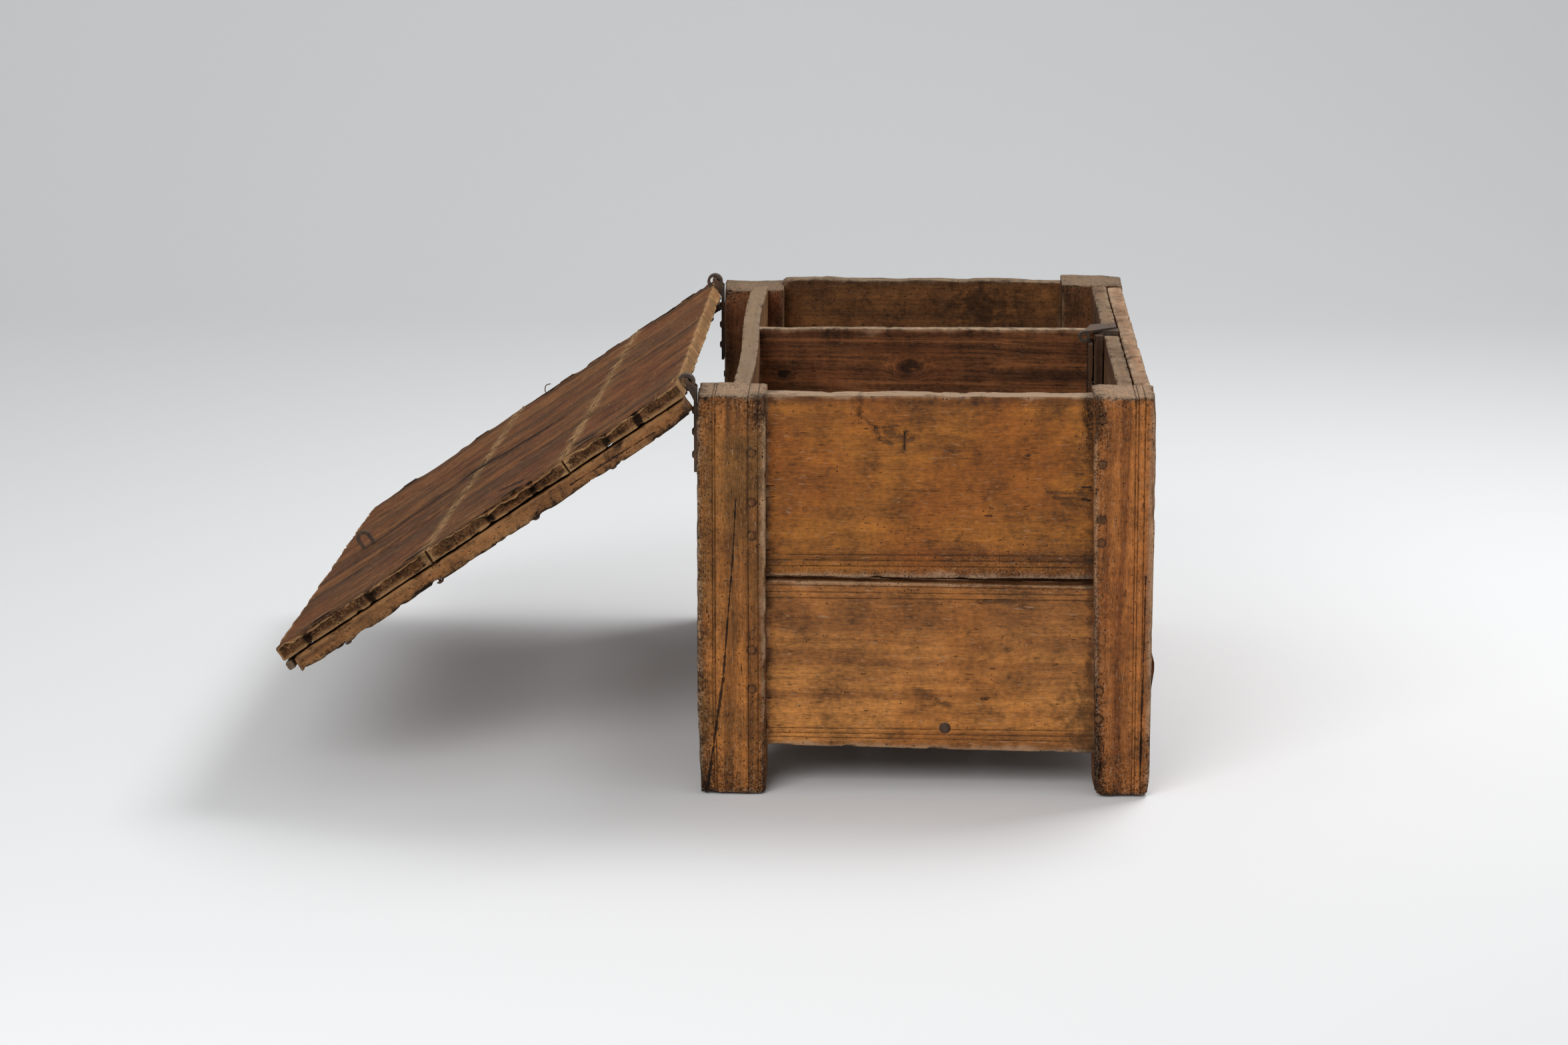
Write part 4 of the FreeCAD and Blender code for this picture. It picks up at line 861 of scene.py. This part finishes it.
for node, finish, x, y, z, radius, seed, along in (
        ("lock_cheek", "lock case wood", (0.238, 0.252), (-0.019, -0.011), (0.440, 0.537), 0.0012, 71, 2),
        ("lock_cover", "lock cover wood", (0.230, 0.238), (-0.019, 0.037), (0.440, 0.524), 0.0012, 72, 2),
        ("lock_base", "lock case wood", (0.238, 0.252), (-0.011, 0.037), (0.440, 0.448), 0.0010, 73, 0)):
    worn(Timber(x, y, z, 0.003, radius, seed, along=along), finish, node)

# Lid

clench_marks = [(x[0] + (x[1] - x[0]) * share + CLENCH_LENGTH / 2, y)
                for x, shares, y in ((NEAR_BATTEN, NEAR_NAIL_SHARES, -NAIL_FROM_MIDDLE),
                                     (FAR_BATTEN, FAR_NAIL_SHARES, NAIL_FROM_MIDDLE)) for share in shares]


def joint_at(joint, y):
    """X of a lid joint: the joints run askew from the near end to the far end."""
    share = (y + LID_END) / (2 * LID_END)
    return joint[0] + (joint[1] - joint[0]) * share


def shifted(joint):
    """The side of the board before a joint."""
    return tuple(place - JOINT_GAP for place in joint)


def level_at_nails(timber, place, inner):
    """The inner face kept level under the clenched nails, with soiling and rot round them."""
    for x, y in clench_marks:
        mark = inner * np.exp(-(((place[:, 0] - x) / 0.017) ** 2 + ((place[:, 1] - y) / 0.007) ** 2))
        timber.points[:, 2] += (LID_INNER - timber.points[:, 2]) * np.clip(mark * 1.4, 0.0, 1.0)
        timber.soil += 1.5 * mark
        timber.rot += 0.4 * mark


def break_ends(timber, from_joint, seed):
    """The board's end grain, dark and broken, most at the inner face; gives where that end grain is."""
    inward = (0.25 + 0.75 * step(LID_OUTER - 0.002, LID_OUTER - 0.010, timber.z)) * from_joint
    rim = step(0.5, 0.8, np.abs(timber.out[:, 1])) * inward
    near_rim = fade(LID_END - np.abs(timber.y), 0.010) * inward
    arris = fade(timber.to_edge, 0.006) * near_rim
    timber.push(-0.0020 * rim * (1.0 + noise(timber.flat, (0.006, 0.02, 0.012), seed + 7)))
    for depth, where, size, more, low, high in (
            (0.0032, near_rim, (0.022, 0.02, 0.05), 17, 0.0, 0.7),
            (0.0030, arris, (0.007, 0.02, 0.02), 27, -0.2, 0.5),
            (0.0020, rim, (0.013, 0.02, 0.009), 37, -0.2, 0.5),
            (0.0035, near_rim, (0.06, 0.3, 0.3), 47, -0.08, 0.08)):
        timber.push(-depth * where * timber.patches(size, seed + more, low, high))
    timber.top += 0.15 * arris * timber.patches((0.005, 0.02, 0.02), seed + 28, 0.0, 0.4)
    timber.rot += rim * 0.3
    timber.dim += rim * 0.85
    timber.soil += near_rim * 0.15
    return rim


def lid_board(low_joint, high_joint, far_end, seed, splits):
    """A board of the lid, hollow on its inner face; splits are the X of splits in its near end."""
    low, high = low_joint[0], high_joint[0]
    timber = Timber((low, high), (-LID_END, far_end), (LID_INNER, LID_OUTER), 0.0042, 0.003, seed,
                    rough=1.2, rot=0.03)
    joints = [np.abs(timber.x - side) for side in (low, high) if LID_BACK < side < LID_FRONT]
    from_joint = np.ones(len(timber.flat))
    for away in joints:
        timber.points += (timber.flat - timber.points) * fade(away, 0.006)[:, None] * 0.75
        from_joint *= 1.0 - 0.8 * fade(away, 0.010)
    share = (timber.points[:, 0] - low) / (high - low)
    y = timber.points[:, 1]
    timber.points[:, 0] = joint_at(low_joint, y) * (1.0 - share) + joint_at(high_joint, y) * share
    place = timber.points.copy()
    inner = step(0.4, 0.8, -timber.out[:, 2])
    timber.points[:, 2] += 0.0020 * inner * np.sin(np.clip(share, 0.0, 1.0) * math.pi)
    level_at_nails(timber, place, inner)
    rim = break_ends(timber, from_joint, seed)
    near_side = fade(timber.y + LID_END, 0.008)
    for x in splits:
        split = np.exp(-((place[:, 0] - x) / 0.0035) ** 2)
        timber.push(-0.006 * near_side * split)
        timber.soil += 1.6 * near_side * split
    for away in joints:
        seam = fade(away, 0.012)
        hatch = noise(timber.flat, (0.03, 0.005, 0.03), seed + 8)
        timber.push(-0.0004 * seam * (1.0 + hatch) * (1.0 - rim))
        flecks = timber.patches((0.014, 0.0055, 0.02), seed + 9, -0.15, 0.45)
        timber.top = np.maximum(timber.top, inner * flecks * fade(away, 0.009) * 0.7)
        timber.rot += 0.15 * seam
        timber.soil += 0.15 * fade(away, 0.003)
    return timber


back_board = lid_board((LID_BACK, LID_BACK), shifted(FIRST_JOINT), LID_END, 81, [-0.191, -0.240])
middle_board = lid_board(FIRST_JOINT, shifted(SECOND_JOINT), LID_END, 82, [-0.074, -0.004])
front_board = lid_board(SECOND_JOINT, (LID_FRONT, LID_FRONT), LID_END - 0.014, 83, [0.185, 0.286])
back_side = fade(back_board.x - LID_BACK, 0.004)
back_board.push(-0.0015 * back_side * (1.0 + noise(back_board.flat, (0.02, 0.006, 0.02), 95)))
back_board.top += 0.5 * back_side
for board, x, reach, depth in (
        (back_board, -0.270, 0.014, 0.006), (back_board, -0.195, 0.020, 0.010),
        (middle_board, -0.130, 0.016, 0.009), (middle_board, -0.060, 0.012, 0.006),
        (middle_board, 0.038, 0.012, 0.008), (front_board, 0.150, 0.014, 0.008),
        (front_board, 0.240, 0.022, 0.006), (front_board, LID_FRONT, 0.030, 0.012)):
    board.bite((x, LID_END, LID_INNER), (reach, 0.02, 0.02), depth)

notched = back_board.points
in_notch = np.abs(np.abs(notched[:, 1]) - HINGE_FROM_MIDDLE) < NOTCH_HALF
drawn_in = (NOTCH_DRAWN_FROM - NOTCH_EDGE) / (NOTCH_DRAWN_FROM - LID_BACK)
notched[:, 0] = np.where(in_notch & (notched[:, 0] < NOTCH_DRAWN_FROM),
                         NOTCH_DRAWN_FROM - (NOTCH_DRAWN_FROM - notched[:, 0]) * drawn_in, notched[:, 0])
for name, board in (("back", back_board), ("middle", middle_board), ("front", front_board)):
    worn(board, "lid wood", name + "_lid_board")

for end, x in (("near", NEAR_BATTEN), ("far", FAR_BATTEN)):
    y = (-LID_END, -LID_END + BATTEN_WIDTH) if end == "near" else (LID_END - BATTEN_WIDTH, LID_END)
    outer = LID_OUTER + BATTEN_HEIGHT
    batten = Timber(x, y, (LID_OUTER, outer), 0.0036, 0.0055, 85, rough=1.6, rot=0.02)

    # Square where it lies close on the lid, rounded towards its back end
    closed = (x[0] + 0.16 < batten.x) * fade(batten.z - LID_OUTER, 0.003)
    square = np.clip(batten.y, y[0] + 0.001, y[1] - 0.001)
    batten.points[:, 1] += (square - batten.points[:, 1]) * closed * 0.8
    batten.soil += 0.4 * batten.patches((0.04, 0.03, 0.012), 99, -0.1, 0.6)
    outside = fade(outer - batten.z, 0.012)
    batten.push(-0.0028 * outside * batten.patches((0.03, 0.03, 0.02), 86, 0.0, 0.6))
    batten.push(-0.0030 * outside * batten.patches((0.009, 0.02, 0.008), 98, 0.0, 0.5))
    batten.rot += 0.38 * outside
    batten.soil += 0.12 * outside
    batten.top += 0.5 * outside * batten.patches((0.05, 0.02, 0.012), 96, -0.3, 0.5)
    batten.bite((x[0], y[0], outer), (0.03, 0.03, 0.02), 0.006)
    batten.bite((0.12, y[0], outer), (0.03, 0.02, 0.012), 0.005)
    worn(batten, "batten wood", end + "_lid_batten")
nosing = Timber((NOSING_BACK, LID_FRONT), (-LID_END, LID_END), (LID_OUTER, LID_OUTER + NOSING_HEIGHT),
                0.005, 0.005, 88, along=1, rot=0.1)
worn(nosing, "nosing wood", "lid_nosing")


def tube(path, radius, sides=8):
    """Points and faces of a bent wire, closed at both ends."""
    path = np.asarray(path)
    turns = np.linspace(0.0, 2.0 * math.pi, sides, endpoint=False)
    points = []
    for index, place in enumerate(path):
        run = path[min(index + 1, len(path) - 1)] - path[max(index - 1, 0)]
        run = run / np.linalg.norm(run)
        across = np.cross(run, (0.0, 1.0, 0.0))
        across /= np.linalg.norm(across)
        other = np.cross(run, across)
        points.extend(place + radius * (math.cos(turn) * across + math.sin(turn) * other) for turn in turns)
    faces = [(row * sides + i, row * sides + (i + 1) % sides, (row + 1) * sides + (i + 1) % sides,
              (row + 1) * sides + i) for row in range(len(path) - 1) for i in range(sides)]
    last = (len(path) - 1) * sides
    faces += [tuple(reversed(range(sides))), tuple(range(last, last + sides))]
    return points, faces


nail_bend = ((0.009, 0.5445), (0.008, 0.5410), (0.005, 0.5375),
             (0.003, 0.5360), (0.000, 0.5358), (-0.005, 0.5375))
nail_points, nail_faces = tube([(x, 0.512, z) for x, z in nail_bend], radius=0.0008)
made("bent_nail_point", nail_points, nail_faces, finishes["nail iron"], "lid", [],
     LID_IN_PLACE)

# Everything else keeps its solid and takes its finish

kept = {"peg_wood": "peg wood", "moulding_wood": "moulding wood", "iron": "forged iron",
        "nail_iron": "nail iron"}
for node, slot_name in slots.items():
    if slot_name in kept:
        mesh = frame["nodes"][node].data
        mesh.materials.clear()
        mesh.materials.append(finishes[kept[slot_name]])

# Floor, backdrop, light and camera

stage_tone = Finish("stage")
stage_tone.done(tone(241, 242, 243), 0.9, 0.0, 0.001)
bend = [math.radians(degrees) for degrees in range(0, 91, 6)]
sweep_profile = [(-7.0, 0.0)] + [(3.2 + 2.0 * math.sin(turn), 2.0 - 2.0 * math.cos(turn)) for turn in bend]
sweep_profile.append((5.2, 6.0))
sweep_points = [(x, y, z) for y, z in sweep_profile for x in (-9.0, 9.0)]
sweep_faces = [(2 * i, 2 * i + 1, 2 * i + 3, 2 * i + 2) for i in range(len(sweep_profile) - 1)]
sweep_mesh = bpy.data.meshes.new("sweep")
sweep_mesh.from_pydata(sweep_points, [], sweep_faces)
sweep_mesh.polygons.foreach_set("use_smooth", np.ones(len(sweep_faces), dtype=bool))
sweep_mesh.materials.append(stage_tone.material)
sweep = bpy.data.objects.new("sweep", sweep_mesh)
bpy.context.scene.collection.objects.link(sweep)


def lamp(name, at, towards, size, power):
    """A soft light from a rectangle that faces a point."""
    data = bpy.data.lights.new(name, "AREA")
    data.shape = "RECTANGLE"
    data.size, data.size_y = size
    data.energy = power
    light = bpy.data.objects.new(name, data)
    light.location = at
    light.rotation_euler = (Vector(towards) - Vector(at)).to_track_quat("-Z", "Y").to_euler()
    bpy.context.scene.collection.objects.link(light)


lamp("high_softbox", (1.5, 0.9, 3.0), (-0.1, 0.0, 0.2), (1.5, 1.5), 62.0)
lamp("front_fill", (-1.4, -4.0, 2.6), (0.0, 0.0, 0.3), (2.6, 2.0), 92.0)
world = bpy.data.worlds.new("soft light")
bpy.context.scene.world = world
world.use_nodes = True
world.node_tree.nodes["Background"].inputs["Color"].default_value = (1.0, 1.0, 1.0, 1.0)
world.node_tree.nodes["Background"].inputs["Strength"].default_value = 0.42

PHOTO_WIDTH = 2352
FOCAL_LENGTH_PIXELS = 6538.2
CAMERA_PLACE = Vector((-0.0384, -6.0632, 1.6037))
PITCH = math.radians(12.489)
YAW = math.radians(-1.507)
camera_data = bpy.data.cameras.new("camera")
camera_data.sensor_fit = "HORIZONTAL"
camera_data.sensor_width = 36.0
camera_data.lens = FOCAL_LENGTH_PIXELS / PHOTO_WIDTH * camera_data.sensor_width
camera_data.clip_end = 60.0
camera = bpy.data.objects.new("camera", camera_data)
ahead = Vector((math.sin(YAW) * math.cos(PITCH), math.cos(YAW) * math.cos(PITCH), -math.sin(PITCH)))
right = Vector((math.cos(YAW), -math.sin(YAW), 0.0))
up = right.cross(ahead)
turned = Matrix((right, up, -ahead)).transposed().to_4x4()
camera.matrix_world = Matrix.Translation(IN_PLACE @ CAMERA_PLACE) @ turned
bpy.context.scene.collection.objects.link(camera)
bpy.context.scene.camera = camera
bpy.context.scene.view_settings.view_transform = "Standard"
